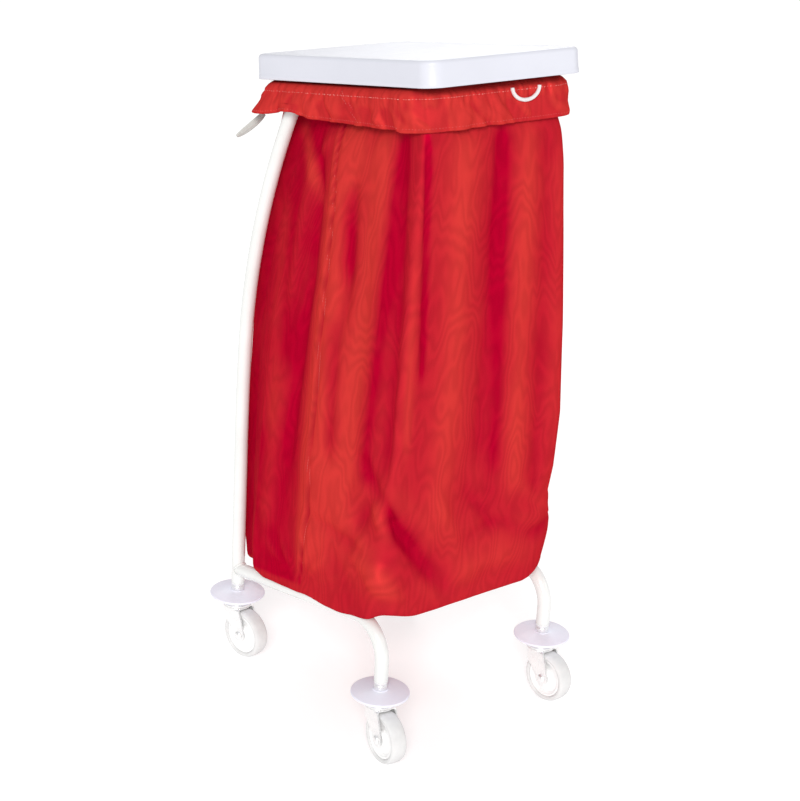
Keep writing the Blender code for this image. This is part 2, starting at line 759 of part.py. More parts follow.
def make_bag(root):
    """One closed wall: the outer face from the floor up, then the inner face back down."""
    outer, inner = [], []
    for index, (z, slope, front_x, side_x, rear_x, front, rear) in enumerate(bag_sections()):
        tube_y = upright_at(z)[1]
        right = [(front_x, front), (side_x, tube_y - 0.060), (rear_x, tube_y - 0.016), (rear_x, rear)]
        corners = right + [(-x, y) for x, y in reversed(right)]
        radii = [BAG_FRONT_CORNER, BAG_TUCK, BAG_TUCK, BAG_REAR_CORNER]
        outline = rounded_outline(corners, radii + radii[::-1], 3, 2)
        depth, lift = BAG_EDGE.get(index, (CLOTH, 0.0))
        outer.append([(x, y, z - y * slope) for x, y in outline])
        inner.append([(x, y, z + lift - y * slope) for x, y in inset(outline, depth)])
    mesh = loft(outer + inner[::-1], cap_first=True, cap_last=True)
    smooth(mesh)
    place(mesh, "bag_body", CLOTH_RED, root)


def make_tie(root):
    """A flat tapered strip of folded webbing that stands out of the cuff's rear left corner."""
    start, end = Vector((-0.118, 0.189, 0.832)), Vector((-0.152, 0.209, 0.799))
    run = end - start
    turn = run.to_track_quat("X", "Y").to_matrix().to_4x4()
    wide, narrow, half = 0.0050, 0.0030, 0.0012
    outline = [(0, -wide), (run.length, -narrow), (run.length, narrow), (0, wide)]
    tie = outline_object("bag_tie", outline, half, WEBBING, root)
    tie.data.transform(Matrix.Translation(start) @ turn)


def cord_points():
    """The drawcord's loop: out of the cuff's face, down in a bow, and back in."""
    face_v = RING_FRONT - RING_R - CLOTH - FIT - CORD_R - 0.0025
    left, right = CORD_X
    middle, half = (left + right) / 2, (right - left) / 2
    steps = 16
    points = []
    for i in range(steps + 1):
        a = math.pi * i / steps
        points.append(mouth_point(middle - half * math.cos(a), face_v, -0.011 - CORD_SAG * math.sin(a)))
    return points


def make_cord(root):
    curve_object("drawcord_loop", cord_points(), CORD_R, WEBBING, root, sides=8)


def main():
    root = anchor("trolley_base", location=(0, CENTRE_Y, 0))
    mouth = anchor("mouth_plane", root, (0, MOUTH_Y, MOUTH_Z), (-MOUTH_TILT, 0, 0))
    for y, end in ((-STEM_Y, "front"), (STEM_Y, "rear")):
        for x, side in ((-STEM_X, "left"), (STEM_X, "right")):
            make_castor(root, x, y, f"{end}_{side}")
    make_frame(root, mouth)
    screw_cutters = hinge_screw_cutters(mouth)
    make_lid(mouth, screw_cutters)
    for u, tag in ((-HINGE_U, "left"), (HINGE_U, "right")):
        make_hinge(mouth, u, tag, screw_cutters)
    make_screws(mouth)
    make_bag(root)
    make_cuff(mouth)
    make_tie(root)
    make_cord(root)


main()
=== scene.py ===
import math

import bmesh
import bpy
import numpy as np
from mathutils import Matrix, Vector, noise


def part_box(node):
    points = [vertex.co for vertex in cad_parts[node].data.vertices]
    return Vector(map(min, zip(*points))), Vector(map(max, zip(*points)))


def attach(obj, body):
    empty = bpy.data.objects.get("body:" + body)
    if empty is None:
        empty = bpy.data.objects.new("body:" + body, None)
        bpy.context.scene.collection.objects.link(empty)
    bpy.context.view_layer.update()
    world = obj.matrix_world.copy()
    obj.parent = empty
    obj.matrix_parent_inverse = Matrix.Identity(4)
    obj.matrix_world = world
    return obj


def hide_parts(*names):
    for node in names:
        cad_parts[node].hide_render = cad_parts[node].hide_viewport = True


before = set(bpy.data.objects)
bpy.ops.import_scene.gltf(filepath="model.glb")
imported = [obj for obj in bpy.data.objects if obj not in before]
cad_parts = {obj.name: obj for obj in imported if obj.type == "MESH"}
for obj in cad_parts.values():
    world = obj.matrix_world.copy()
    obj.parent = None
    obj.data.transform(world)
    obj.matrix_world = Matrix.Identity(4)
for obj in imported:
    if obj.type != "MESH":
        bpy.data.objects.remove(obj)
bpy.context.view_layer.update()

# ---- Sizes shared with the CAD part, in metres ----

TUBE_R = 0.010
STEM_X = 0.1525
STEM_Y = 0.177
WHEEL_R = 0.0375
RIM_R = 0.0295
TRAIL = 0.021
CASTOR_TURNS = {"front_left": -96.0, "front_right": -86.0, "rear_left": -81.0, "rear_right": -90.0}
FORK_INNER = 0.0135
FORK_SHEET = 0.0025
CROWN_R = 0.021
CROWN_Z = (0.0775, 0.0803)
HEAD_TOP = 0.0905
BUMPER_R = 0.0415
BUMPER_TOP = 0.006
BUMPER_BOTTOM = -0.003
BUMPER_Z = 0.0985
TUBE_END_Z = 0.1165
COLLAR_R = 0.0095
EYE_R = 0.010

RAIL_REAR_Z = 0.1405
RAIL_SLOPE = math.radians(10.6)
RAIL_BEND_R = 0.050
UPRIGHT_BEND_Z = 0.497
UPRIGHT_BEND_R = 1.10
LEAN_IN_Z = 0.352
CROSS_R = 0.008
CROSS_REAR_Y = 0.135
CROSS_FRONT_Y = -0.100
RACK_WIRE_R = 0.003
RACK_WIRES = 4

MOUTH_Y = 0.009
MOUTH_Z = 0.910
MOUTH_TILT = math.radians(8.9)
RING_R = 0.010
RING_X = 0.120
RING_FRONT = -0.163
RING_REAR = 0.174
RING_CORNER = 0.026
RING_W = -0.0145
UPRIGHT_V = 0.100
TUBE_SIDES = 36
WELD_R = TUBE_R + 0.0006
WELD_BEAD = 0.0012
QUARTER = math.pi / 2

LID_X = 0.133
LID_Y = 0.194
LID_H = 0.034
LID_WALL = 0.003
LID_CORNER = 0.024
LID_EDGE = 0.006
LID_DRAFT = 0.0012
RIB_HALF = 0.0012
RIB_H = 0.006
HINGE_U = 0.070
HINGE_V = 0.2135
HINGE_W = -0.0065
HINGE_EYE_R = 0.006
PIN_R = 0.0030
STRAP_HALF = 0.009
STRAP_W = (-0.0140, -0.0110)
LEAF_HALF = 0.020
LEAF_SHEET = 0.0028
LEAF_W = (0.004, 0.028)
LUG = (0.0094, 0.0142)
SCREW_W = (0.011, 0.022)
SCREW_HEAD_R = 0.0040
SCREW_HEAD_H = 0.0022

BAG_FLOOR_Z = 0.1838
BAG_TOP_W = -0.0250
CORD_R = 0.0025
CORD_X = (0.014, 0.061)
CORD_SAG = 0.017
CORD_W = -0.011
BAG_CLOTH = 0.0010
CUFF_CLOTH = 0.0009
TIE_CLOTH = 0.0012
GAP = 0.0003


def middle(node):
    low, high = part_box(node)
    return (low + high) / 2


# The root frame's middle, from the castor stems' real places
CENTRE_Y = (middle("castor_stem_front_left").y + middle("castor_stem_rear_left").y) / 2


def mouth_point(u, v, w):
    """Row coordinates of a point given in the mouth's own axes."""
    c, s = math.cos(MOUTH_TILT), math.sin(MOUTH_TILT)
    return Vector((u, MOUTH_Y + CENTRE_Y + v * c + w * s, MOUTH_Z - v * s + w * c))


MOUTH = Matrix.Translation((0, MOUTH_Y + CENTRE_Y, MOUTH_Z)) @ Matrix.Rotation(-MOUTH_TILT, 4, "X")


# ---- Camera ----

def in_scene(name, data):
    made = bpy.data.objects.new(name, data)
    bpy.context.scene.collection.objects.link(made)
    return made


def make_camera():
    azimuth, elevation, roll = (math.radians(degrees) for degrees in (39.818, 21.292, 3.356))
    level = math.cos(elevation)
    back = Vector((-math.sin(azimuth) * level, -math.cos(azimuth) * level, math.sin(elevation)))
    right = (-back).cross(Vector((0, 0, 1))).normalized()
    up = right.cross(-back)
    turn = Matrix((
        right * math.cos(roll) + up * math.sin(roll), up * math.cos(roll) - right * math.sin(roll), back,
    )).transposed().to_4x4()
    data = bpy.data.cameras.new("camera")
    data.sensor_width = 36.0
    data.lens = 81.53
    camera = in_scene("camera", data)
    target = Vector((0, CENTRE_Y, 0.442))
    camera.matrix_world = Matrix.Translation(target + back * 2.6099) @ turn
    bpy.context.scene.camera = camera


make_camera()


# ---- Mesh helpers ----

def grid_mesh(name, rows, wrap=True, close=False, caps=(False, False), uv=None):
    """Quads over rows of points. wrap joins each row's ends; close joins the last row to the first."""
    rows = np.asarray(rows, float)
    count, width = rows.shape[:2]
    faces, corners = [], []
    for r in range(count if close else count - 1):
        s = (r + 1) % count
        for i in range(width if wrap else width - 1):
            j = (i + 1) % width
            faces.append((r * width + i, r * width + j, s * width + j, s * width + i))
            corners.append(((r, i), (r, i + 1), (r + 1, i + 1), (r + 1, i)))
    if caps[0]:
        faces.append(tuple(reversed(range(width))))
    if caps[1]:
        faces.append(tuple(range((count - 1) * width, count * width)))
    mesh = bpy.data.meshes.new(name)
    mesh.from_pydata([tuple(v) for v in rows.reshape(-1, 3)], [], faces)
    if uv is not None:
        layer = mesh.uv_layers.new(name="UVMap")
        flat = [uv[r][i] for face in corners for r, i in face]
        data = np.zeros(len(mesh.loops) * 2)
        data[:len(flat) * 2] = np.asarray(flat, float).reshape(-1)
        layer.data.foreach_set("uv", data)
    return mesh


def cleaned(mesh, merge=0.0, dropped=None):
    """Doubles merged, every face turned outward, and the faces whose middle dropped picks taken out."""
    bm = bmesh.new()
    bm.from_mesh(mesh)
    if merge:
        bmesh.ops.remove_doubles(bm, verts=bm.verts, dist=merge)
    bmesh.ops.recalc_face_normals(bm, faces=bm.faces)
    if dropped:
        gone = [f for f in bm.faces if dropped(f.calc_center_median())]
        bmesh.ops.delete(bm, geom=gone, context="FACES")
    bm.to_mesh(mesh)
    bm.free()


def tidy(mesh, angle=35.0):
    """A cleaned mesh, shaded smooth with its sharp edges kept."""
    cleaned(mesh, merge=1e-6)
    mesh.shade_smooth()
    mesh.set_sharp_from_angle(angle=math.radians(angle))
    return mesh


def turns(count):
    """Even steps round a full turn."""
    return np.linspace(0, 2 * math.pi, count, endpoint=False)


def joined(name, meshes):
    bm = bmesh.new()
    for mesh in meshes:
        bm.from_mesh(mesh)
    made = bpy.data.meshes.new(name)
    bm.to_mesh(made)
    bm.free()
    return made


def lathe(profile, segments=64, closed=True, name="lathe"):
    """(radius, height) points turned about Z. A closed profile joins its last point to its first."""
    rows = [[(r * math.cos(a), r * math.sin(a), z) for a in turns(segments)] for r, z in profile]
    return tidy(grid_mesh(name, rows, close=closed))


def rounded(profile, radius, steps=3, closed=True):
    """A (radius, height) profile with its corners rounded off."""
    points = [Vector((r, z)) for r, z in profile]
    count = len(points)
    made = []
    for i, corner in enumerate(points):
        if not closed and i in (0, count - 1):
            made.append(tuple(corner))
            continue
        before, after = points[i - 1], points[(i + 1) % count]
        back, on = before - corner, after - corner
        reach = min(radius, back.length * 0.45, on.length * 0.45)
        start = corner + back.normalized() * reach
        end = corner + on.normalized() * reach
        for k in range(steps + 1):
            t = k / steps
            made.append(tuple(start * (1 - t) ** 2 + corner * 2 * t * (1 - t) + end * t**2))
    return made


def frames(points, closed):
    """A pair of crosswise unit vectors at each point of a path, with no twist along it."""
    count = len(points)
    tangents = []
    for i in range(count):
        ahead = points[(i + 1) % count] if closed or i < count - 1 else points[i]
        behind = points[i - 1] if closed or i > 0 else points[i]
        tangents.append((ahead - behind).normalized())
    side = tangents[0].orthogonal().normalized()
    made = []
    for tangent in tangents:
        side = (side - tangent * side.dot(tangent)).normalized()
        made.append((side, tangent.cross(side)))
    return made


def sweep(points, radius, sides=28, closed=False):
    """A round bar along a path. radius is a number or one number a point."""
    points = [Vector(p) for p in points]
    radii = [radius] * len(points) if isinstance(radius, float) else radius
    rows = [
        [point + (a * math.cos(t) + b * math.sin(t)) * r for t in turns(sides)]
        for point, (a, b), r in zip(points, frames(points, closed), radii)
    ]
    return tidy(grid_mesh("sweep", rows, close=closed, caps=(not closed, not closed)))


def weld(points, radius, ripple, step, sides=10):
    """A rippled bead along a closed path. step is the ripple's angle from one point to the next."""
    radii = [radius * (1 + ripple * math.sin(k * step)) for k in range(len(points))]
    return sweep(points, radii, sides, closed=True)


def fillet(before, corner, after, radius, steps):
    """Points of an arc that rounds one corner of a chain."""
    back = (before - corner).normalized()
    on = (after - corner).normalized()
    half = back.angle(on) / 2
    reach = radius / math.tan(half)
    centre = corner + (back + on).normalized() * (radius / math.sin(half))
    first = corner + back * reach - centre
    last = corner + on * reach - centre
    turn = first.angle(last)
    made = []
    for i in range(steps + 1):
        t = turn * i / steps
        made.append(centre + (first * math.sin(turn - t) + last * math.sin(t)) / math.sin(turn))
    return made


def rounded_outline(corners, radii, arc_steps, side_steps):
    """A closed outline of (x, y) points. Radii and steps are one number, or one number a corner."""
    corners = [Vector((x, y, 0.0)) for x, y in corners]
    count = len(corners)
    radii, arc_steps, side_steps = (
        np.broadcast_to(given, count).tolist() for given in (radii, arc_steps, side_steps)
    )
    arcs = [
        fillet(corners[i - 1], corners[i], corners[(i + 1) % count], radii[i], arc_steps[i])
        for i in range(count)
    ]
    points = []
    for i, arc in enumerate(arcs):
        start, end = arc[-1], arcs[(i + 1) % count][0]
        points += arc + [start.lerp(end, k / side_steps[i]) for k in range(1, side_steps[i])]
    return [(p.x, p.y) for p in points]


def rectangle(left, right, first, last):
    return [(left, first), (right, first), (right, last), (left, last)]


def prism(outline, low, high):
    """A flat outline in XY, standing from low to high in Z."""
    rows = [[(x, y, z) for x, y in outline] for z in (low, high)]
    return tidy(grid_mesh("prism", rows, caps=(True, True)))


def in_row(points):
    """Points about the castors' middle, moved to where the row of frames has them."""
    moved = np.array(points, float)
    moved[..., 1] += CENTRE_Y
    return moved


def thicken(made, thickness, offset):
    step = made.modifiers.new("Thickness", "SOLIDIFY")
    step.thickness = thickness
    step.offset = offset
    return step


def bevel(made, width):
    step = made.modifiers.new("Bevel", "BEVEL")
    step.width = width
    step.segments = 2
    step.limit_method = "ANGLE"
    step.angle_limit = math.radians(40)


def piece(name, mesh, material, body, replaced=None, matrix=None):
    """A finished piece that rides on a body and stands for its CAD node, in its material's slot or another."""
    made = in_scene(name, mesh)
    if not mesh.materials:
        mesh.materials.append(material)
    if matrix is not None:
        made.matrix_world = matrix
    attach(made, body)
    if replaced:
        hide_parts(replaced)
    return made


# ---- Materials ----

def add(tree, kind, inputs=(), **settings):
    """A node with its settings and its inputs, each a value or another node's socket."""
    made = tree.nodes.new(kind)
    for key, value in settings.items():
        setattr(made, key, value)
    for key, value in dict(inputs).items():
        if isinstance(value, bpy.types.NodeSocket):
            tree.links.new(value, made.inputs[key])
        else:
            made.inputs[key].default_value = value
    return made


def preset(node, **values):
    """Even values set on a node itself."""
    for key, value in values.items():
        node.inputs[key.replace("_", " ")].default_value = value


def shader(name, **sockets):
    """A material with its Principled shader's even values set on the shader itself."""
    made = bpy.data.materials.new(name)
    made.use_nodes = True
    tree = made.node_tree
    surface = tree.nodes["Principled BSDF"]
    preset(surface, **sockets)
    return made, tree, surface, add(tree, "ShaderNodeTexCoord").outputs["Object"]


def plug(tree, surface, **sockets):
    """Nodes' outputs joined to the shader's sockets."""
    for key, value in sockets.items():
        tree.links.new(value, surface.inputs[key.replace("_", " ")])


def maths(tree, operation, *values, **settings):
    return add(tree, "ShaderNodeMath", enumerate(values), operation=operation, **settings).outputs[0]


def mapped(tree, where, **change):
    return add(tree, "ShaderNodeMapping", {"Vector": where, **change}).outputs["Vector"]


def wave(tree, where, scale, distortion, detail, **settings):
    inputs = {"Vector": where, "Scale": scale, "Distortion": distortion, "Detail": detail}
    return add(tree, "ShaderNodeTexWave", inputs, **settings).outputs["Fac"]


def noise_of(tree, where, scale, detail=4.0, rough=0.55):
    inputs = {"Vector": where, "Scale": scale, "Detail": detail, "Roughness": rough}
    return add(tree, "ShaderNodeTexNoise", inputs).outputs["Fac"]


def spread(tree, value, low, high, to_low=0.0, to_high=1.0):
    """A value's range from low to high, moved to another range."""
    inputs = {"Value": value, "From Min": low, "From Max": high, "To Min": to_low, "To Max": to_high}
    return add(tree, "ShaderNodeMapRange", inputs).outputs["Result"]


def mixed(tree, fac, a, b):
    made = add(tree, "ShaderNodeMix", data_type="RGBA")
    for socket, value in ((made.inputs[0], fac), (made.inputs[6], a), (made.inputs[7], b)):
        if isinstance(value, bpy.types.NodeSocket):
            tree.links.new(value, socket)
        elif socket.type == "RGBA":
            socket.default_value = (*value, 1.0)
        else:
            socket.default_value = value
    return made.outputs[2]


def bump(tree, height, strength, distance, normal=None):
    inputs = {"Height": height, "Strength": strength, "Distance": distance}
    if normal is not None:
        inputs["Normal"] = normal
    return add(tree, "ShaderNodeBump", inputs).outputs["Normal"]


def plain_material(name, light, dark, rough, grain, grain_strength, patch=14.0, **sockets):
    """A moulded or painted surface: cloudy colour, uneven gloss, fine grain and faint scuffs."""
    made, tree, surface, where = shader(name, **sockets)
    cloud = spread(tree, noise_of(tree, where, patch, 5.0), 0.35, 0.65)
    fine = bump(tree, noise_of(tree, where, grain, 3.0), grain_strength, 0.0003)
    plug(
        tree, surface, Base_Color=mixed(tree, cloud, dark, light),
        Roughness=spread(tree, noise_of(tree, where, patch * 9, 6.0, 0.7), 0.3, 0.75, *rough),
        Normal=bump(tree, noise_of(tree, where, patch * 3, 2.0), 0.12, 0.0006, fine),
    )
    return made


def steel_material():
    """Bright zinc plate: cloudy, with fine rolling marks one way."""
    made, tree, surface, where = shader("bright_steel", Metallic=0.85)
    cloud = spread(tree, noise_of(tree, where, 60.0, 6.0), 0.3, 0.7)
    marks = noise_of(tree, mapped(tree, where, Scale=(2500.0, 2500.0, 90.0)), 1.0, 2.0)
    plug(
        tree, surface, Base_Color=mixed(tree, cloud, (0.84, 0.845, 0.85), (0.95, 0.95, 0.94)),
        Roughness=spread(tree, marks, 0.3, 0.7, 0.22, 0.40), Normal=bump(tree, marks, 0.10, 0.0002),
    )
    return made


def cloth_material():
    """Satin red nylon: fine weave, a faint watered figure, slubs and uneven gloss."""
    made, tree, surface, where = shader(
        "bag_nylon", Metallic=0.22, Sheen_Weight=0.02, Sheen_Roughness=0.4, Sheen_Tint=(1.0, 0.2, 0.1, 1.0),
        Specular_IOR_Level=0.0, Specular_Tint=(1.0, 0.25, 0.20, 1.0),
    )
    at = add(tree, "ShaderNodeUVMap", uv_map="UVMap").outputs["UV"]
    warp = wave(tree, at, 420.0, 1.5, 1.0, bands_direction="X")
    weft = wave(tree, at, 380.0, 1.5, 1.0, bands_direction="Y")
    weave = maths(tree, "MULTIPLY", warp, weft)
    figure = noise_of(tree, mapped(tree, at, Scale=(9.0, 3.0, 1.0)), 1.0, 3.0, 0.5)
    watered = maths(tree, "SINE", maths(tree, "MULTIPLY", figure, 150.0))

    # Painted light and shade: the fold attribute holds painted shade for hollows and painted highlight for
    # raised folds, with random patches added.
    painted_fold_shading = add(tree, "ShaderNodeVertexColor", layer_name="fold").outputs["Color"]
    patchy = spread(tree, noise_of(tree, where, 7.0, 5.0, 0.6), 0.35, 0.68, -0.12, 0.12)
    painted_shading_and_patches = maths(tree, "ADD", painted_fold_shading, patchy, use_clamp=True)
    tone = maths(
        tree, "MULTIPLY", spread(tree, weave, 0.0, 1.0, 0.88), spread(tree, watered, -1.0, 1.0, 0.88),
    )
    dim = add(tree, "ShaderNodeMix", {0: 1.0}, data_type="RGBA", blend_type="MULTIPLY")
    # Lit and shaded copies of the red: deep crimson for painted shade, orange-red for painted highlight.
    tree.links.new(mixed(tree, painted_shading_and_patches, (0.45, 0.0010, 0.024), (0.635, 0.040, 0.036)), dim.inputs[6])
    tree.links.new(tone, dim.inputs[7])

    pucker = noise_of(tree, mapped(tree, at, Scale=(26.0, 60.0, 1.0)), 1.0, 4.0, 0.5)
    plug(
        tree, surface, Base_Color=dim.outputs[2],
        Roughness=spread(tree, noise_of(tree, where, 28.0, 4.0), 0.3, 0.7, 0.44, 0.56),
        Normal=bump(tree, pucker, 0.35, 0.0012, bump(tree, weave, 0.22, 0.0003)),
    )
    return made


def webbing_material(name, light, dark, scale):
    """Twisted or braided yarn: slanting ridges, fuzz, and colour darker in the ridges' grooves and in random
    flecks.
    """
    made, tree, surface, where = shader(name, Sheen_Weight=0.2, Sheen_Roughness=0.5)
    ribs = wave(tree, mapped(tree, where, Rotation=(0.5, 0.7, 0.8)), scale, 2.0, 2.0)
    fuzz = noise_of(tree, where, 900.0, 3.0)
    tone = maths(tree, "MULTIPLY", ribs, fuzz)
    plug(
        tree, surface, Base_Color=mixed(tree, spread(tree, tone, 0.0, 0.6), dark, light),
        Roughness=spread(tree, fuzz, 0.3, 0.7, 0.60, 0.85), Normal=bump(tree, tone, 0.5, 0.0005),
    )
    return made


ENAMEL = plain_material(
    "white_enamel", (0.755, 0.765, 0.755), (0.70, 0.712, 0.70), (0.16, 0.30), 700.0, 0.10,
    Coat_Weight=0.5, Coat_Roughness=0.08,
)
STEEL = steel_material()
CLOTH = cloth_material()
BUFFER = plain_material(
    "bumper_plastic", (0.78, 0.78, 0.87), (0.72, 0.72, 0.83), (0.42, 0.58), 1100.0, 0.30, patch=22.0,
    Specular_IOR_Level=0.4,
)
TYRE = plain_material(
    "grey_tyre", (0.68, 0.68, 0.68), (0.60, 0.60, 0.60), (0.58, 0.80), 1500.0, 0.45, patch=40.0,
    Specular_IOR_Level=0.35,
)
NYLON = plain_material(
    "wheel_nylon", (0.88, 0.88, 0.88), (0.80, 0.80, 0.80), (0.34, 0.50), 1200.0, 0.20, patch=45.0,
    Subsurface_Weight=0.08, Subsurface_Radius=(0.002, 0.002, 0.002),
)
LID_PLASTIC = plain_material(
    "lid_plastic", (0.640, 0.650, 0.718), (0.615, 0.625, 0.692), (0.30, 0.44), 1300.0, 0.30, patch=8.0,
    Specular_IOR_Level=0.45,
)
THREAD = webbing_material("seam_thread", (0.80, 0.15, 0.13), (0.52, 0.03, 0.04), 1500.0)
PALE_THREAD = webbing_material("hem_thread", (0.92, 0.55, 0.50), (0.75, 0.22, 0.20), 1500.0)
WEBBING = webbing_material("tie_webbing", (0.60, 0.60, 0.57), (0.42, 0.42, 0.40), 500.0)
BRAID = webbing_material("cord_braid", (0.84, 0.82, 0.82), (0.66, 0.64, 0.64), 420.0)


# ---- Drawcord ----

def make_cord():
    """The drawcord's bow: out of the cuff's face, down, and back in."""
    face_v = RING_FRONT - RING_R - 0.002 - GAP - CORD_R - 0.0025
    centre, half = sum(CORD_X) / 2, (CORD_X[1] - CORD_X[0]) / 2
    points = [
        mouth_point(centre - half * math.cos(a), face_v, CORD_W - CORD_SAG * math.sin(a))
        for a in np.linspace(0, math.pi, 25)
    ]
    curve = bpy.data.curves.new("drawcord", "CURVE")
    curve.dimensions = "3D"
    curve.bevel_depth = CORD_R
    curve.bevel_resolution = 5
    curve.use_fill_caps = True
    spline = curve.splines.new("POLY")
    spline.points.add(len(points) - 1)
    for point, at in zip(spline.points, points):
        point.co = (*at, 1.0)
    made = piece("drawcord", curve, BRAID, "frame", "drawcord_loop")


make_cord()


# ---- Castors ----

def bumper_mesh():
    rim, half, hub, hub_top = BUMPER_R - 0.002, 0.002, 0.0124, BUMPER_TOP - 0.0007
    profile = [(0.0056, BUMPER_TOP), (0.0108, BUMPER_TOP), (0.0114, hub_top), (hub, hub_top)]
    for i in range(1, 13):
        r = hub + (rim - hub) * i / 12
        profile.append((r, half + (hub_top - half) * (1 - (i / 12) ** 1.8)))
    for degrees in range(15, 181, 15):
        a = math.radians(degrees)
        profile.append((rim + half * math.sin(a), half * math.cos(a)))
    profile += [(0.036, -0.0012), (0.030, -0.0010), (0.0215, BUMPER_BOTTOM), (0.0056, BUMPER_BOTTOM)]
    return lathe([(r, z + BUMPER_Z) for r, z in profile], 96, name="bumper")


def stem_mesh():
    collar, shoulder = BUMPER_Z + BUMPER_TOP + GAP, BUMPER_Z + BUMPER_BOTTOM - GAP
    end, under = TUBE_END_Z, CROWN_Z[0]
    plug_top, plug_r, pin_r, waist_r = end + 0.022, 0.0078, 0.005, 0.013
    outline = [
        (0.0001, plug_top), (plug_r - 0.001, plug_top), (plug_r, plug_top - 0.002), (plug_r, end - GAP),
        (COLLAR_R, end - GAP), (COLLAR_R, end - 0.0042), (COLLAR_R - 0.0007, end - 0.0050),
        (COLLAR_R, end - 0.0058), (COLLAR_R, collar), (pin_r, collar), (pin_r, shoulder), (waist_r, shoulder),
        (waist_r, HEAD_TOP + GAP), (pin_r, HEAD_TOP + GAP), (pin_r, under - GAP), (0.0085, under - GAP),
        (0.0070, under - 0.0035), (0.0001, under - 0.0035),
    ]
    return lathe(rounded(outline, 0.0005, 2, closed=False), 48, closed=False, name="stem")


def head_mesh():
    low = CROWN_Z[1] + GAP
    outline = [
        (0.0056, HEAD_TOP), (0.0150, HEAD_TOP), (0.0192, HEAD_TOP - 0.0030), (0.0198, low + 0.0052),
        (0.0190, low + 0.0044), (0.0190, low + 0.0036), (0.0207, low + 0.0028), (CROWN_R, low), (0.0056, low),
    ]
    return lathe(rounded(outline, 0.0006, 3), 64, name="swivel_head")


def leg_span(z):
    """Front and back edge of a fork leg at one height."""
    knee = CROWN_Z[1] - 0.0204
    back, ahead = (
        (TRAIL + EYE_R * math.cos(math.radians(d)), WHEEL_R + EYE_R * math.sin(math.radians(d)))
        for d in (165, 20)
    )
    round_half = math.sqrt(max(EYE_R**2 - (z - WHEEL_R) ** 2, 0.0))
    low = float(np.interp(z, [back[1], knee], [back[0], -0.011]))
    high = float(np.interp(z, [ahead[1], knee, CROWN_Z[1]], [ahead[0], 0.026, 0.018]))
    return TRAIL - round_half if z < back[1] else low, TRAIL + round_half if z < ahead[1] else high


def fork_strap():
    """One sheet strap: down one leg, over the crown and down the other."""
    wall, top, turn = FORK_INNER + FORK_SHEET / 2, sum(CROWN_Z) / 2, 0.0035
    foot, flat = WHEEL_R - EYE_R, wall - turn
    rise = top - turn - foot
    half = [
        (wall, foot + 0.00002 + rise * (1 - math.cos(t * math.pi / 2)) ** 0.75) for t in np.linspace(0, 1, 30)
    ]
    half += [
        (flat + turn * math.cos(a), top - turn + turn * math.sin(a)) for a in np.radians((18, 36, 54, 72, 90))
    ]
    half += [(flat - flat * k / 4, top) for k in range(1, 4)]
    rows = []
    for y, z in half + [(0.0, top)] + [(-y, z) for y, z in reversed(half)]:
        low, high = leg_span(z)
        crown = 0.0005 if abs(y) > FORK_INNER else 0.0
        rows.append([
            (low + (high - low) * t, y + math.copysign(crown * math.sin(math.pi * t) ** 2, y), z)
            for t in np.linspace(0, 1, 13)
        ])
    return grid_mesh("strap", rows, wrap=False)


def thick(mesh, thickness):
    """The mesh of a thin sheet given its real thickness."""
    made = in_scene("sheet", mesh)
    thicken(made, thickness, 0.0).use_even_offset = True
    bpy.context.view_layer.update()
    result = bpy.data.meshes.new_from_object(made.evaluated_get(bpy.context.evaluated_depsgraph_get()))
    bpy.data.objects.remove(made)
    return result


def fork_mesh():
    strap = tidy(thick(fork_strap(), FORK_SHEET), angle=50.0)
    plate = lathe(rounded(rectangle(0.0056, CROWN_R, CROWN_Z[1], CROWN_Z[0] + 0.0004), 0.0007, 3), 64)
    return joined("fork", [strap, plate])


def axle_mesh():
    """Domed head one side, washer and hexagon nut the other."""
    out = FORK_INNER + FORK_SHEET + GAP
    dome = (
        (0.0001, 0.0037), (0.0030, 0.0035), (0.0052, 0.0027), (0.0066, 0.0012), (0.0068, 0.0), (0.004, 0.0),
    )
    tail = ((0.004, 0.0052), (0.0036, 0.0056), (0.0001, 0.0056))
    bolt = lathe([(r, out + z) for r, z in dome] + [(r, -out - z) for r, z in tail], 48, closed=False)
    washer = lathe(rounded(rectangle(0.0041, 0.0070, -out, -out - 0.0009), 0.0003, 2), 48)
    nut = (
        (0.0041, 0.001), (0.0062, 0.001), (0.0065, 0.0014), (0.0065, 0.0038), (0.0060, 0.0044),
        (0.0041, 0.0044),
    )
    return joined("axle", [bolt, washer, lathe([(r, -out - z) for r, z in nut], 6)])


def both_faces(half):
    return half + [(r, -z) for r, z in reversed(half)]


def rim_mesh():
    hub = FORK_INNER - 0.0016
    half = [
        (0.0068, hub - 0.0006), (0.0076, hub), (0.0106, hub), (0.0113, hub - 0.0007), (0.0120, 0.0062),
        (0.0130, 0.0052),
        (0.0222, 0.0047), (0.0232, 0.0052), (0.0238, 0.0064), (0.0244, 0.0070), (0.0252, 0.0072),
        (0.0258, 0.0078),
        (0.0262, 0.0092), (0.0268, 0.0098), (0.0288, 0.0098), (RIM_R, 0.0092),
    ]
    return lathe(both_faces(half), 96, name="wheel_rim")


def tyre_mesh():
    half = [
        (RIM_R + GAP, 0.0098), (0.0306, 0.0112), (0.0318, 0.0119), (0.0330, 0.0120), (0.0334, 0.0116),
        (0.0338, 0.0116),
        (0.0342, 0.0119), (0.0351, 0.0113), (0.0359, 0.0102), (0.0361, 0.0094), (0.0364, 0.0092),
        (0.0366, 0.0084),
        (0.0366, 0.0080), (0.0370, 0.0076), (0.0373, 0.0050), (WHEEL_R, 0.0018),
    ]
    return lathe(both_faces(half), 120, name="tyre")


def bush_mesh():
    half = FORK_INNER - 0.001
    return lathe(rounded(rectangle(0.0045, 0.0065, half, -half), 0.0004, 2), 48, name="wheel_bush")


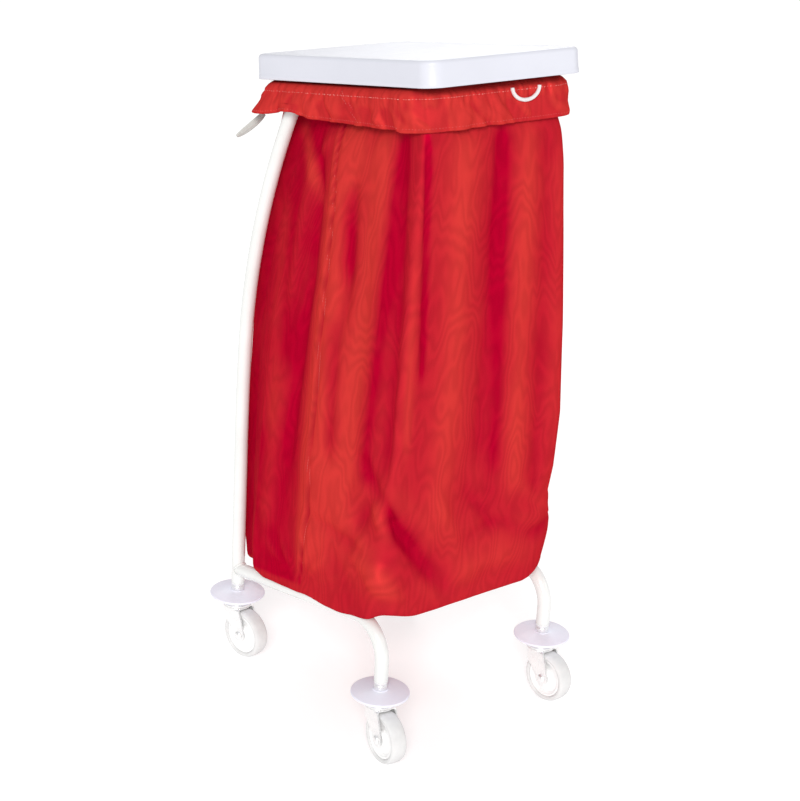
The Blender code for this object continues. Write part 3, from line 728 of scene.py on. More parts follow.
def make_castors():
    kinds = (
        ("bumper", bumper_mesh(), "post", BUFFER), ("castor_stem", stem_mesh(), "post", STEEL),
        ("swivel_head", head_mesh(), "swivel", STEEL), ("fork", fork_mesh(), "swivel", STEEL),
        ("axle_bolt", axle_mesh(), "axle", STEEL), ("wheel_rim", rim_mesh(), "wheel", NYLON),
        ("tyre", tyre_mesh(), "wheel", TYRE), ("wheel_bush", bush_mesh(), "wheel", STEEL),
    )
    for tag, turn in CASTOR_TURNS.items():
        stem = middle("castor_stem_" + tag)
        post = Matrix.Translation((stem.x, stem.y, 0))
        swivel = post @ Matrix.Rotation(math.radians(turn), 4, "Z")
        axle = swivel @ Matrix.Translation((TRAIL, 0, WHEEL_R)) @ Matrix.Rotation(QUARTER, 4, "X")
        places = {
            "post": ("frame", post), "swivel": ("swivel_" + tag, swivel), "axle": ("swivel_" + tag, axle),
            "wheel": ("wheel_" + tag, axle),
        }
        for kind, mesh, place, material in kinds:
            body, where = places[place]
            piece(f"fine_{kind}_{tag}", mesh, material, body, f"{kind}_{tag}", where)


make_castors()


# ---- Tube frame ----

def rail_z(y):
    """Height of a lower rail's centre line, y from the castors' middle."""
    return RAIL_REAR_Z + (STEM_Y - TUBE_R - y) * math.tan(RAIL_SLOPE)


def upright_at(z):
    """Where an upright's centre line is at one height: out to its side, and y from the castors' middle."""
    top = mouth_point(RING_X, UPRIGHT_V, RING_W)

    def sag(height):
        rise = max(0.0, height - UPRIGHT_BEND_Z)
        return UPRIGHT_BEND_R - math.sqrt(UPRIGHT_BEND_R**2 - rise**2)

    lean = (STEM_X - RING_X) * (max(0.0, z - LEAN_IN_Z) / (top.z - LEAN_IN_Z)) ** 2
    return STEM_X - lean, STEM_Y - (STEM_Y - (top.y - CENTRE_Y)) * sag(z) / sag(top.z)


def tube_lip(foot, *rises):
    """The enamel's edge at a tube's open end."""
    return sweep([foot + Vector((0, 0, rise)) for rise in rises], TUBE_R + 0.0002, TUBE_SIDES)


def make_upright(side, tag):
    top = mouth_point(RING_X, UPRIGHT_V, RING_W).z
    heights = [TUBE_END_Z] + list(np.linspace(LEAN_IN_Z, top - RING_R * 0.9, 40))
    path = [Vector(p) for p in in_row([(side * upright_at(z)[0], upright_at(z)[1], z) for z in heights])]
    run = (path[-1] - path[-3]).normalized()
    ring_way = (MOUTH.to_3x3() @ Vector((0, 1, 0))).normalized()
    crown = [
        path[-1] + (Vector((1, 0, 0)) * math.cos(a) + ring_way * math.sin(a)) * WELD_R - run * WELD_BEAD
        for a in turns(60)
    ]
    parts = [
        sweep(path, TUBE_R, TUBE_SIDES), tube_lip(path[0], 0.0004, 0.0016), weld(crown, WELD_BEAD, 0.16, 2.1),
    ]
    piece(f"upright_{tag}_tube", joined("upright", parts), ENAMEL, "frame", "upright_" + tag)


def make_rail(side, tag):
    x, start_y = side * STEM_X, STEM_Y - TUBE_R * 0.8
    start, foot = Vector((x, start_y, rail_z(start_y))), Vector((x, -STEM_Y, TUBE_END_Z))
    bend = fillet(start, Vector((x, -STEM_Y, rail_z(-STEM_Y))), foot, RAIL_BEND_R, 22)
    path = [Vector(p) for p in in_row([start] + bend + [foot])]
    seam = []
    for a in turns(72):
        across = WELD_R * math.cos(a)
        y = STEM_Y - math.sqrt(max((TUBE_R + 0.0008) ** 2 - across**2, 0.0))
        seam.append((x + across, y, rail_z(y) + WELD_R * math.sin(a)))
    parts = [
        sweep(path, TUBE_R, TUBE_SIDES), tube_lip(path[-1], 0.0016, 0.0004),
        weld(in_row(seam), 0.0013, 0.16, QUARTER),
    ]
    piece(f"lower_rail_{tag}_tube", joined("rail", parts), ENAMEL, "frame", "lower_rail_" + tag)


def make_ring():
    outline = rounded_outline(rectangle(-RING_X, RING_X, RING_FRONT, RING_REAR), RING_CORNER, 12, 8)
    ring = sweep([mouth_point(u, v, RING_W) for u, v in outline], RING_R, 32, closed=True)
    around = RING_R + 0.0002
    seam = [
        mouth_point(0.0, RING_REAR + around * math.cos(a), RING_W + around * math.sin(a)) for a in turns(48)
    ]
    made = joined("ring", [ring, weld(seam, 0.0009, 0.2, 2.6)])
    piece("mouth_ring_tube", made, ENAMEL, "frame", "mouth_ring")


def end_bead(side, y, z, rise, radius):
    """A bead round a bar's end where it meets the inner side of a rail."""
    onto = TUBE_R + 0.0004
    points = []
    for a in turns(48):
        along, up = radius * math.cos(a), radius * math.sin(a)
        lean = up * math.cos(RAIL_SLOPE) + along * math.sin(RAIL_SLOPE)
        reach = math.sqrt(max(onto**2 - min(abs(lean + rise), onto) ** 2, 0.0))
        points.append((side * (STEM_X - reach), y + along, z + up))
    return weld(in_row(points), 0.0009, 0.18, 2 * math.pi * 14 / 48, 8)


def make_cross_pieces():
    lift = TUBE_R - RACK_WIRE_R - 0.001
    span = (CROSS_REAR_Y - CROSS_FRONT_Y) / (RACK_WIRES + 1)
    bars = [
        ("cross_tube_rear", CROSS_REAR_Y, 0.0, CROSS_R), ("cross_tube_front", CROSS_FRONT_Y, 0.0, CROSS_R),
    ]
    for i in range(1, RACK_WIRES + 1):
        bars.append((f"rack_wire_{i}", CROSS_FRONT_Y + span * i, lift, RACK_WIRE_R))
    for node, y, rise, radius in bars:
        z = rail_z(y) + rise
        beyond, clear = (GAP, 0.0002) if radius == RACK_WIRE_R else (0.0, 0.0006)
        inner = STEM_X - math.sqrt((TUBE_R + beyond) ** 2 - max(rise - radius, 0.0) ** 2) + clear
        bar = sweep(in_row([(x, y, z) for x in (-inner, 0, inner)]), radius)
        beads = [end_bead(side, y, z, rise, radius + 0.0003) for side in (-1, 1)]
        piece(node + "_bar", joined("bar", [bar] + beads), ENAMEL, "frame", node)


for side_sign, side_tag in ((-1, "left"), (1, "right")):
    make_upright(side_sign, side_tag)
    make_rail(side_sign, side_tag)
make_ring()
make_cross_pieces()


# ---- Lid and hinges ----

def lid_profile():
    """(inset, height) rows from the middle of the underside, out round the skirt and in over the top."""
    under, shoulder = LID_H - LID_WALL, LID_H - LID_EDGE
    rows = [(inset, under) for inset in (0.128, 0.100, 0.060, 0.025, 0.0095)]
    rows += [
        (0.0065, under - 0.0005), (0.0050, under - 0.0018), (0.0044, under - 0.004), (0.0036, 0.010),
        (0.0032, 0.0008), (0.0028, 0.0002), (0.0022, 0.0), (0.0008, 0.0), (0.0002, 0.0003), (0.0, 0.0010),
        (0.0, 0.0048), (0.0003, 0.0056), (0.0006, 0.0064), (LID_DRAFT, shoulder),
    ]
    for degrees in range(12, 91, 13):
        a = math.radians(degrees)
        rows.append((LID_DRAFT + LID_EDGE * (1 - math.cos(a)), shoulder + LID_EDGE * math.sin(a)))
    crown = ((0.0110, 0.0001), (0.025, 0.0004), (0.060, 0.0009), (0.100, 0.0012), (0.128, 0.0012))
    return rows + [(inset, LID_H + rise) for inset, rise in crown]


def make_lid():
    loops = []
    for inset, w in lid_profile():
        x, y = LID_X - inset, LID_Y - inset
        outline = rounded_outline(rectangle(-x, x, -y, y), max(LID_CORNER - inset, 0.0035), 10, 12)
        loops.append([(u, v, w) for u, v in outline])
    lid = tidy(grid_mesh("lid", loops, caps=(True, True)), angle=60.0)
    under, reach_u, reach_v = LID_H - LID_WALL, LID_X - RIB_H, LID_Y - RIB_H
    spans = [(u - RIB_HALF, u + RIB_HALF, -reach_v, reach_v) for u in (0.0, -0.070, 0.070)]
    spans += [(-reach_u, reach_u, v - RIB_HALF, v + RIB_HALF) for v in (-0.060, 0.060)]
    ribs = [prism(rectangle(*span), under - RIB_H, under + 0.0005) for span in spans]
    piece("lid_moulding", joined("lid", [lid] + ribs), LID_PLASTIC, "lid", "lid", MOUTH)


def plate(left, right, first, last, corner, low, high):
    """A flat plate with rounded corners."""
    return prism(rounded_outline(rectangle(left, right, first, last), corner, 6, 1), low, high)


def make_hinge(u, tag):
    at = Matrix.Translation((u, HINGE_V, HINGE_W)) @ Matrix.Rotation(QUARTER, 4, "Y")
    eye = lathe(rounded(rectangle(PIN_R + 0.0003, HINGE_EYE_R, STRAP_HALF, -STRAP_HALF), 0.0005, 2), 48)
    eye.transform(at)
    strap = plate(u - STRAP_HALF, u + STRAP_HALF, RING_REAR + 0.0035, HINGE_V, 0.0012, *STRAP_W)
    bevel(piece(
        f"bracket_{tag}", joined("bracket", [eye, strap]), STEEL, "frame", "hinge_bracket_" + tag, MOUTH,
    ), 0.0003)

    front = LID_Y + GAP
    leaf = plate(u - LEAF_HALF, u + LEAF_HALF, *LEAF_W, 0.004, 0.0, LEAF_SHEET)
    leaf.transform(Matrix.Translation((0, front + LEAF_SHEET, 0)) @ Matrix.Rotation(QUARTER, 4, "X"))
    lug_line = [(front, LEAF_W[0]), (front, LEAF_W[1] - 0.005), (front + 0.0022, LEAF_W[1] - 0.005)]
    for degrees in range(50, -161, -15):
        a = math.radians(degrees)
        lug_line.append((HINGE_V + HINGE_EYE_R * math.cos(a), HINGE_W + HINGE_EYE_R * math.sin(a)))
    parts = [leaf]
    for side in (-1, 1):
        lug = prism(lug_line, *sorted(u + side * reach for reach in LUG))
        lug.transform(Matrix(((0, 0, 1, 0), (1, 0, 0, 0), (0, 1, 0, 0), (0, 0, 0, 1))))
        parts.append(lug)
    bevel(piece(f"leaf_{tag}", joined("leaf", parts), STEEL, "lid", "hinge_leaf_" + tag, MOUTH), 0.0004)

    head, cap_r = LUG[1] + GAP, 0.0045
    half = [(0.0001, head + 0.002), (cap_r, head + 0.002), (cap_r, head), (PIN_R, head)]
    pin = lathe(rounded(both_faces(half), 0.0007, 3, closed=False), 40, closed=False)
    pin.transform(at)
    piece(f"pin_{tag}", pin, STEEL, "frame", "hinge_pin_" + tag, MOUTH)
    for w, level in zip(SCREW_W, ("low", "high")):
        at = Matrix.Translation((u, LID_Y + 2 * GAP + LEAF_SHEET, w)) @ Matrix.Rotation(-QUARTER, 4, "X")
        piece(f"screw_{tag}_{level}", screw_mesh(), STEEL, "lid", f"hinge_screw_{tag}_{level}", MOUTH @ at)


def screw_mesh():
    """A pan head with a cross recess, on a plain shank."""
    top = SCREW_HEAD_H
    body = lathe([
        (0.0001, top - 0.0010), (0.0008, top - 0.0010), (0.0010, top - 0.0001), (0.0020, top - 0.0001),
        (0.0031, top - 0.0005), (0.0038, top * 0.45), (SCREW_HEAD_R, 0.0004), (SCREW_HEAD_R, 0.0),
        (0.0018, 0.0),
        (0.0018, -0.0075), (0.0001, -0.0075),
    ], 32, closed=False)
    arms = [
        prism(rectangle(-x, x, -y, y), top - 0.0006, top) for x, y in ((0.0022, 0.00035), (0.00035, 0.0022))
    ]
    return joined("screw", [body] + arms)


make_lid()
make_hinge(-HINGE_U, "left")
make_hinge(HINGE_U, "right")


# ---- Bag ----

def bag_sections():
    """(height at mid-depth, slope, front, side and rear half-widths, front y, rear y), floor first."""
    slope, tilt, inside = math.tan(RAIL_SLOPE), math.tan(MOUTH_TILT), RING_R + GAP
    top = MOUTH_Z + MOUTH_Y * tilt + BAG_TOP_W / math.cos(MOUTH_TILT)
    top_x = RING_X - inside
    front = mouth_point(0, RING_FRONT + inside, BAG_TOP_W).y - CENTRE_Y
    rear = mouth_point(0, RING_REAR - inside, BAG_TOP_W).y - CENTRE_Y
    return [
        (BAG_FLOOR_Z + 0.012, slope, 0.169, 0.167, 0.138, -0.185, 0.191),
        (0.232, slope, 0.170, 0.169, 0.139, -0.189, 0.196),
        (0.315, tilt, 0.164, 0.163, 0.139, -0.189, 0.198),
        (0.417, tilt, 0.160, 0.158, 0.138, -0.187, 0.198),
        (0.562, tilt, 0.150, 0.147, 0.133, -0.184, 0.196),
        (0.652, tilt, 0.142, 0.138, 0.127, -0.181, 0.193),
        (0.722, tilt, 0.136, 0.131, 0.121, -0.178, 0.190),
        (0.792, tilt, 0.132, 0.124, 0.114, -0.175, 0.186),
        (0.837, tilt, 0.127, 0.119, 0.109, -0.171, 0.182),
        (0.865, tilt, 0.120, 0.114, 0.107, -0.164, 0.175),
        (top, tilt, top_x, top_x + 0.0008, top_x, front, rear),
    ]


def smooth_rows(sections, count):
    """The section table read off at even steps of height, with soft changes between its rows."""
    table = np.array(sections)
    heights = np.concatenate([[0], np.cumsum(np.maximum(np.abs(np.diff(table[:, 0])), 0.004))])
    wanted = np.linspace(0, heights[-1], count)
    made = np.stack([np.interp(wanted, heights, table[:, k]) for k in range(table.shape[1])], 1)
    kernel = np.hanning(9)
    kernel /= kernel.sum()
    soft = made.copy()
    for k in range(1, table.shape[1]):
        padded = np.pad(made[:, k], 4, mode="edge")
        soft[:, k] = np.convolve(padded, kernel, mode="valid")
    return soft


SIDE_STEPS = (52, 7, 14, 48, 14, 7, 52, 56)
ARC_STEPS = (9, 3, 3, 7, 7, 3, 3, 9)
TUCK_FROM, TUCK_TO = 0.060, 0.016  # how far ahead of an upright the bag starts to narrow, and ends
CORNER_X, CORNER_Y = 0.643, 0.766  # the way out over the front-left corner


def bag_outline(front_x, side_x, rear_x, front, rear, tube_y, left_radius, right_radius):
    """The bag's level section, from the right front corner round the back to the front again."""
    right = [(front_x, front), (side_x, tube_y - TUCK_FROM), (rear_x, tube_y - TUCK_TO), (rear_x, rear)]
    radii = (right_radius, 0.014, 0.014, 0.022, 0.022, 0.014, 0.014, left_radius)
    corners = right + [(-x, y) for x, y in reversed(right)]
    return np.array(rounded_outline(corners, radii, ARC_STEPS, SIDE_STEPS))


def line(z, *knots):
    """Where a fold that runs up the bag lies at height z, from (height, place) knots, both in mm."""
    knots = sorted(knots)
    return np.interp(z, [k[0] / 1000 for k in knots], [k[1] / 1000 for k in knots])


def ridge(offset, width):
    return np.exp(-((offset / width) ** 2))


def between(z, low, high, soft=0.03):
    return 1 / (1 + np.exp(-(z - low) / soft * 3)) / (1 + np.exp((z - high) / soft * 3))


def eased(value):
    """A ramp held between 0 and 1, with soft ends."""
    t = np.clip(value, 0, 1)
    return t * t * (3 - 2 * t)


def creases(a, z, rows, soft=0.03):
    """Folds that run up a face, each: depth, width, lowest and highest point, then the line it follows."""
    return sum(
        depth * ridge(a - line(z, *knots), width) * between(z, low, high, soft)
        for depth, width, low, high, *knots in rows
    )


def slants(a, z, rows):
    """Short slanting folds, each: depth, start, end and its width, or its width below and above."""
    return sum(depth * near_segment(a, z, *where) for depth, *where in rows)


def near_segment(a, z, start, end, width, beyond=None):
    """A ridge along one slanting line of a face, from 0 to 1. beyond is its width on its upper side."""
    (a0, z0), (a1, z1) = start, end
    along = np.array([a1 - a0, z1 - z0]) / 1000
    t = np.clip(((a - a0 / 1000) * along[0] + (z - z0 / 1000) * along[1]) / along.dot(along), 0, 1)
    gap = np.hypot(a - a0 / 1000 - along[0] * t, z - z0 / 1000 - along[1] * t)
    above = (z - z0 / 1000) * along[0] - (a - a0 / 1000) * along[1] > 0
    wide = np.where(above == (along[0] > 0), beyond or width, width)
    return ridge(gap, wide) * (0.35 + 0.65 * np.sin(np.pi * np.clip(t, 0.08, 0.92)))


SEAM = ((861, 3), (757, -8), (620, -12), (479, -18), (332, -23), (250, -14), (173, 6))


def left_folds(y, z):
    made = creases(y, z, ((0.0090, 0.050, 0.24, 0.85, (860, -16), (480, -32), (250, -26)),), 0.05)
    made += creases(y, z, (
        (-0.0040, 0.014, 0.43, 0.87, (850, -125), (726, -148), (596, -160), (463, -170)),
        (0.0028, 0.018, 0.36, 0.85, (829, -92), (702, -111), (582, -119), (472, -125)),
        (-0.0058, 0.014, 0.60, 0.80, (800, -40), (689, -52), (600, -50)),
        (-0.0032, 0.010, 0.38, 0.60, (600, -48), (378, -54)),
        (0.0034, 0.013, 0.60, 0.84, (837, 25), (792, 62), (700, 74), (560, 80)),
        (-0.0046, 0.012, 0.38, 0.84, (830, 58), (760, 34), (640, 30), (420, 44)),
        (0.0030, 0.020, 0.25, 0.50, (520, 76), (260, 90)),
    ))
    seam = y - line(z, *SEAM)
    made += 0.0022 * ridge(seam - 0.0065, 0.0042) - 0.0024 * ridge(seam, 0.0030)
    made += slants(y, z, (
        (0.0075, (-186, 350), (-158, 392), 0.018), (-0.0040, (-150, 392), (-112, 300), 0.012),
        (0.0022, (-14, 205), (-62, 262), 0.0055), (0.0020, (-18, 200), (-96, 246), 0.0055),
        (0.0018, (-24, 196), (-126, 236), 0.0055), (0.0020, (-10, 214), (-40, 292), 0.0055),
        (0.0020, (12, 200), (52, 258), 0.0055), (0.0018, (14, 192), (84, 232), 0.0055),
    ))
    return made - 0.0030 * ridge(z - 0.300 - 0.10 * (y + 0.17), 0.010) * between(y, -0.19, -0.02, 0.02)


def front_folds(x, z):
    made = creases(x, z, (
        (-0.0055, 0.015, 0.42, 0.87, (847, 2), (650, -6), (476, -10)),
        (0.0060, 0.026, 0.34, 0.88, (860, -58), (640, -66), (450, -78)),
        (-0.0044, 0.0060, 0.56, 0.90, (870, -121), (600, -117), (520, -118)),
        (0.0050, 0.022, 0.36, 0.88, (860, 40), (640, 46), (420, 52)),
        (-0.0036, 0.013, 0.34, 0.86, (850, 84), (620, 92), (380, 98)),
        (0.0030, 0.014, 0.32, 0.86, (850, 112), (420, 132)),
    ))
    level = z - 0.302 - 0.012 * np.sin(x * 38 + 0.6) + 0.06 * (x - 0.05)
    made -= (0.0030 + 0.0045 * between(x, 0.10, 0.3, 0.02)) * ridge(level, 0.011) * between(x, -0.035, 0.20)
    made += 0.0060 * ridge(level + 0.044, 0.026) * between(x, -0.06, 0.118)
    return made + slants(x, z, (
        (0.0050, (-92, 250), (-48, 222), 0.012), (-0.0050, (-76, 290), (-40, 236), 0.012),
        (0.0048, (-92, 392), (-40, 300), 0.012), (-0.0040, (-30, 380), (22, 316), 0.010),
        (0.0034, (64, 372), (118, 322), 0.010), (0.0030, (-150, 262), (-110, 226), 0.007),
    ))


def right_folds(y, z):
    made = creases(y, z, (
        (-0.0050, 0.014, 0.38, 0.87, (850, -112), (640, -140), (430, -150)),
        (0.0045, 0.020, 0.34, 0.86, (840, -78), (600, -100), (420, -108)),
        (-0.0055, 0.017, 0.30, 0.83, (800, -40), (600, -54), (360, -60)), (0.0030, 0.016, 0.24, 0.85, *SEAM),
        (-0.0045, 0.014, 0.34, 0.84, (820, 52), (640, 38), (400, 40)),
    ))
    made -= 0.0016 * ridge(y - line(z, *SEAM), 0.0030)
    made -= 0.0060 * ridge(z - 0.276 + 0.20 * y, 0.012) * between(y, -0.25, 0.02)
    return made + slants(y, z, (
        (0.0060, (-150, 350), (-92, 268), 0.014), (-0.0045, (-110, 380), (-62, 300), 0.012),
        (0.0020, (-14, 205), (-70, 262), 0.0058), (0.0020, (-18, 198), (-104, 240), 0.0058),
        (0.0020, (10, 204), (56, 256), 0.0058),
    ))


def rear_folds(x, z):
    made = creases(x, z, (
        (0.0050, 0.022, 0.30, 0.84, (860, -50), (600, -58), (400, -62)),
        (-0.0055, 0.017, 0.32, 0.85, (850, -8), (600, -4), (380, 6)),
        (0.0046, 0.020, 0.30, 0.84, (860, 34), (600, 46), (400, 50)),
        (-0.0034, 0.013, 0.34, 0.84, (860, 82), (420, 92)),
        (-0.0034, 0.013, 0.34, 0.84, (860, -88), (420, -98)),
    ))
    level = z - 0.270 - 0.010 * np.sin(x * 30 + 2.0)
    made -= 0.0058 * ridge(level, 0.012) * between(x, -0.11, 0.12)
    made += 0.0060 * ridge(level + 0.045, 0.024) * between(x, -0.12, 0.12)
    return made + slants(x, z, (
        (0.0050, (96, 352), (34, 268), 0.013), (-0.0042, (70, 370), (14, 296), 0.012),
        (0.0040, (-104, 330), (-58, 256), 0.012),
    ))


def pouch(across, z):
    """The slack pouch at the front-left foot: a swollen side and the valley that cuts across it."""
    return slants(across, z, (
        (0.0140, (-88, 384), (30, 208), 0.034, 0.015), (-0.0165, (-44, 430), (74, 246), 0.010),
        (0.0034, (6, 400), (84, 292), 0.012), (-0.0030, (-70, 300), (4, 222), 0.007),
    ))


def painted_sheen_bands(share, x, y, z):
    """Painted sheen and shade in the cloth's colour: light bands of painted highlight and deep bands of
    painted shade that follow its folds.
    """
    left = creases(y, z, (
        (1.0, 0.015, 0.38, 0.86, (0, -92)), (-1.3, 0.013, 0.40, 0.86, (0, -130)),
        (0.7, 0.020, 0.77, 0.87, (0, -30)), (0.7, 0.022, 0.40, 0.72, (700, 120), (420, 96)),
    ))
    left += creases(y, z, (
        (-1.2, 0.013, 0.66, 0.78, (760, -36), (660, -50)), (-1.2, 0.017, 0.42, 0.60, (600, -34), (440, -56)),
    ), 0.02)
    # Painted shade on the left face behind the seam and in the seam's groove, then a painted highlight near
    # the top by the upright.
    left -= 0.8 * between(y, 0.006, 0.4, 0.010) + 0.9 * ridge(y - line(z, *SEAM), 0.0022)
    left += 1.8 * near_segment(y, z, (104, 826), (34, 752), 0.013)
    front = creases(x, z, (
        (0.9, 0.008, 0.46, 0.88, (0, -140)), (-1.6, 0.0045, 0.57, 0.88, (0, -119)),
        (-0.9, 0.014, 0.40, 0.88, (860, 6), (420, 18)), (0.5, 0.016, 0.36, 0.88, (860, 48), (420, 56)),
        (0.4, 0.022, 0.40, 0.88, (0, -70)),
    ))
    return (share["left"] + 0.6 * share["right"]) * left + (share["front"] + 0.6 * share["rear"]) * front


def soft_noise(wall, scale, seed):
    points = wall.reshape(-1, 3) * scale + (seed, 0, 0)
    return np.array([noise.noise(Vector(p)) for p in points]).reshape(wall.shape[:2])


def bag_grid():
    """Points of the bag's wall (row, column) in root axes, its outward directions."""
    rows = []
    for z, slope, front_x, side_x, rear_x, front, rear in smooth_rows(bag_sections(), 168):
        left_radius = float(np.interp(z, [0.24, 0.40], [0.030, 0.012]))
        right_radius = float(np.interp(
            z, [0.20, 0.245, 0.275, 0.308, 0.345, 0.43], [0.070, 0.060, 0.052, 0.066, 0.050, 0.033],
        ))
        outline = bag_outline(
            front_x, side_x, rear_x, front, rear, upright_at(z)[1], left_radius, right_radius,
        )
        rows.append(np.column_stack([outline, z - outline[:, 1] * slope]))
    wall = np.array(rows)
    ahead, behind = np.roll(wall, -1, axis=1), np.roll(wall, 1, axis=1)
    along = ahead - behind
    out = np.stack([along[..., 1], -along[..., 0], np.zeros(along.shape[:2])], -1)
    out /= np.linalg.norm(out, axis=2, keepdims=True)
    return wall, out


def crumple(wall, out):
    """Folds, bulges and fine puckers, pushed out along the wall's own directions, and the cloth's painted
    light and shade.
    """
    x, y, z = wall[..., 0], wall[..., 1], wall[..., 2]
    ways = {"left": -out[..., 0], "right": out[..., 0], "front": -out[..., 1], "rear": out[..., 1]}
    share = {face: np.clip(way, 0, 1) ** 2 for face, way in ways.items()}
    push = 1.35 * (share["left"] * left_folds(y, z) + share["right"] * right_folds(y, z))
    push += 0.85 * (share["front"] * front_folds(x, z) + share["rear"] * rear_folds(x, z))
    to_corner = np.clip(-CORNER_X * out[..., 0] - CORNER_Y * out[..., 1], 0, 1)
    push += to_corner * pouch(CORNER_Y * x - CORNER_X * y, z)
    push += 0.0016 * soft_noise(wall, (16, 16, 3.2), 3.1) + 0.0007 * soft_noise(wall, (52, 52, 9.0), 7.7)
    push += 0.0022 * soft_noise(wall, (30, 30, 22), 5.2) / (1 + np.exp((z - 0.31) / 0.02))
    tube = np.array([upright_at(h)[1] for h in z.mean(axis=1)])[:, None]
    by_tube = ridge(y - tube + 0.008, 0.034) * (np.abs(out[..., 0]) > 0.3)
    push = np.where(push > 0, push * (1 - by_tube), push * (1 - 0.4 * by_tube))
    push *= 0.15 + 0.85 * eased((z - z[:1]) / 0.045)
    push *= eased((z[-1:] - z - 0.012) / 0.035)
    # The second value is painted light and shade: lighter on raised folds, darker in hollows, with the painted
    # sheen bands added.
    return wall + out * push[..., None], push / 0.008 + painted_sheen_bands(share, x, y, z)


# The floor's edge in steps from the wall inwards: (inward, height), then the part of the
# hem that hangs over a rail: (inward, height as a share of the drop, height)
PLAIN_EDGE = (
    (0.0010, 0.0070), (0.0024, 0.0046), (0.0040, 0.0028), (0.0056, 0.0018), (0.0072, 0.0012),
    (0.0090, 0.0008),
    (0.0110, 0.0006), (0.0140, 0.0005),
)
HUNG_EDGE = (
    (0.0004, 0.0, 0.0050), (0.0008, -0.40, 0.001), (0.0016, -0.85, 0.0), (0.0028, -1.0, 0.0),
    (0.0040, -0.85, 0.0),
    (0.0052, -0.35, 0.0), (0.0064, 0.0, 0.0010), (0.0100, 0.0, 0.0020),
)


def bag_bottom(edge, out):
    """Rows from the floor's middle out to the wall's lowest row, with the cloth slung over the rails."""
    x, y = edge[:, 0], edge[:, 1]
    level = edge[:, 2] - 0.012
    hung = np.clip(np.abs(out[:, 0]) * 1.15 - 0.15, 0, 1) ** 2 * between(y, -0.170, 0.104, 0.016)
    hung *= np.clip((np.abs(x) - 0.150) / 0.010, 0, 1)
    drop = np.interp(y, [-0.16, -0.11, -0.06, -0.01, 0.10], [0.007, 0.012, 0.011, 0.006, 0.004])
    drop *= 1 + 0.08 * np.sin(y * 62) + 0.04 * np.sin(y * 131 + 1.0)
    rows = []
    for (a, rise), (b, share, lift) in zip(PLAIN_EDGE, HUNG_EDGE):
        inward = a * (1 - hung) + b * hung
        height = level + rise * (1 - hung) + (share * drop + lift) * hung
        rows.append(np.column_stack([x - out[:, 0] * inward, y - out[:, 1] * inward, height]))
    rows.append(np.column_stack([x - out[:, 0] * 0.024, y - out[:, 1] * 0.024, level + 0.0006]))
    slope = math.tan(RAIL_SLOPE)
    last = rows[-1]
    for shrink in (0.86, 0.70, 0.52, 0.34, 0.16, 0.04):
        px, py = last[:, 0] * shrink, last[:, 1] * shrink
        rows.append(np.column_stack([px, py, BAG_FLOOR_Z - py * slope + 0.0006]))
    made = np.array(rows)
    made[..., 2] -= sling(made[..., 0], made[..., 1])
    return made[::-1]


def sling(x, y):
    """How far the cloth hangs below its floor between the rails, ahead of the front cross tube."""
    return 0.017 * eased((0.168 - np.abs(x)) / 0.075) * eased((-0.108 - y) / 0.055)


def wall_drop(wall):
    """The wall's foot follows the cloth that hangs low at the front."""
    fade = np.clip((0.31 - wall[..., 2]) / 0.09, 0, 1)
    wall[..., 2] -= sling(wall[..., 0], wall[..., 1]) * fade
    return wall


def stitches(name, path, out, spread_by, length, pitch, radius=0.00034):
    """Short raised stitches along a path, beside it by each distance in spread_by."""
    path = [Vector(p) for p in path]
    ends = lengths(path)
    meshes = bmesh.new()
    for at in np.arange(pitch, ends[-1] - length, pitch):
        i = min(int(np.searchsorted(ends, at)) - 1, len(path) - 2)
        t = (at - ends[i]) / max(ends[i + 1] - ends[i], 1e-9)
        where = path[i].lerp(path[i + 1], t)
        along = (path[i + 1] - path[i]).normalized()
        up = Vector(out[i]).normalized()
        beside = along.cross(up)
        for gap in spread_by:
            centre = where + beside * gap + up * radius * 0.5
            rings = []
            for s, r in ((-0.5, 0.35), (-0.36, 0.95), (0.0, 1.1), (0.36, 0.95), (0.5, 0.35)):
                middle_point = centre + along * (length * s) - up * (radius * 0.8 * (2 * s) ** 2)
                rings.append([
                    meshes.verts.new(middle_point + (beside * math.cos(a) + up * math.sin(a)) * radius * r)
                    for a in (math.radians(d) for d in range(0, 360, 60))
                ])
            for low, high in zip(rings, rings[1:]):
                for k in range(6):
                    meshes.faces.new((low[k], low[(k + 1) % 6], high[(k + 1) % 6], high[k]))
            meshes.faces.new(rings[0][::-1])
            meshes.faces.new(rings[-1])
    mesh = bpy.data.meshes.new(name)
    bmesh.ops.recalc_face_normals(meshes, faces=meshes.faces)
    meshes.to_mesh(mesh)
    meshes.free()
    mesh.shade_smooth()
    return mesh


def flat_places(rows):
    """Each grid point's place on the flat cloth, in metres, a seam column included."""
    around = np.concatenate([rows, rows[:, :1]], axis=1)
    u = lengths(around[len(rows) // 2])
    down = np.linalg.norm(np.diff(around, axis=0), axis=2)
    v = np.concatenate([np.zeros((1, around.shape[1])), np.cumsum(down, axis=0)])
    return np.stack([np.broadcast_to(u, v.shape), v], -1)


def lengths(path):
    """How far along a path each of its points lies."""
    return np.concatenate([[0], np.cumsum(np.linalg.norm(np.diff(path, axis=0), axis=1))])


def paint_fold_shading(mesh, values):
    """Each point's painted light and shade for the cloth's colour, from a valley's painted shade, 0, to a
    painted highlight on a raised fold, 1.
    """
    layer = mesh.color_attributes.new("fold", "FLOAT_COLOR", "POINT")
    level = np.clip(0.44 + 0.5 * np.asarray(values, float).reshape(-1), 0, 1)
    layer.data.foreach_set("color", np.stack([level, level, level, np.ones_like(level)], 1).reshape(-1))


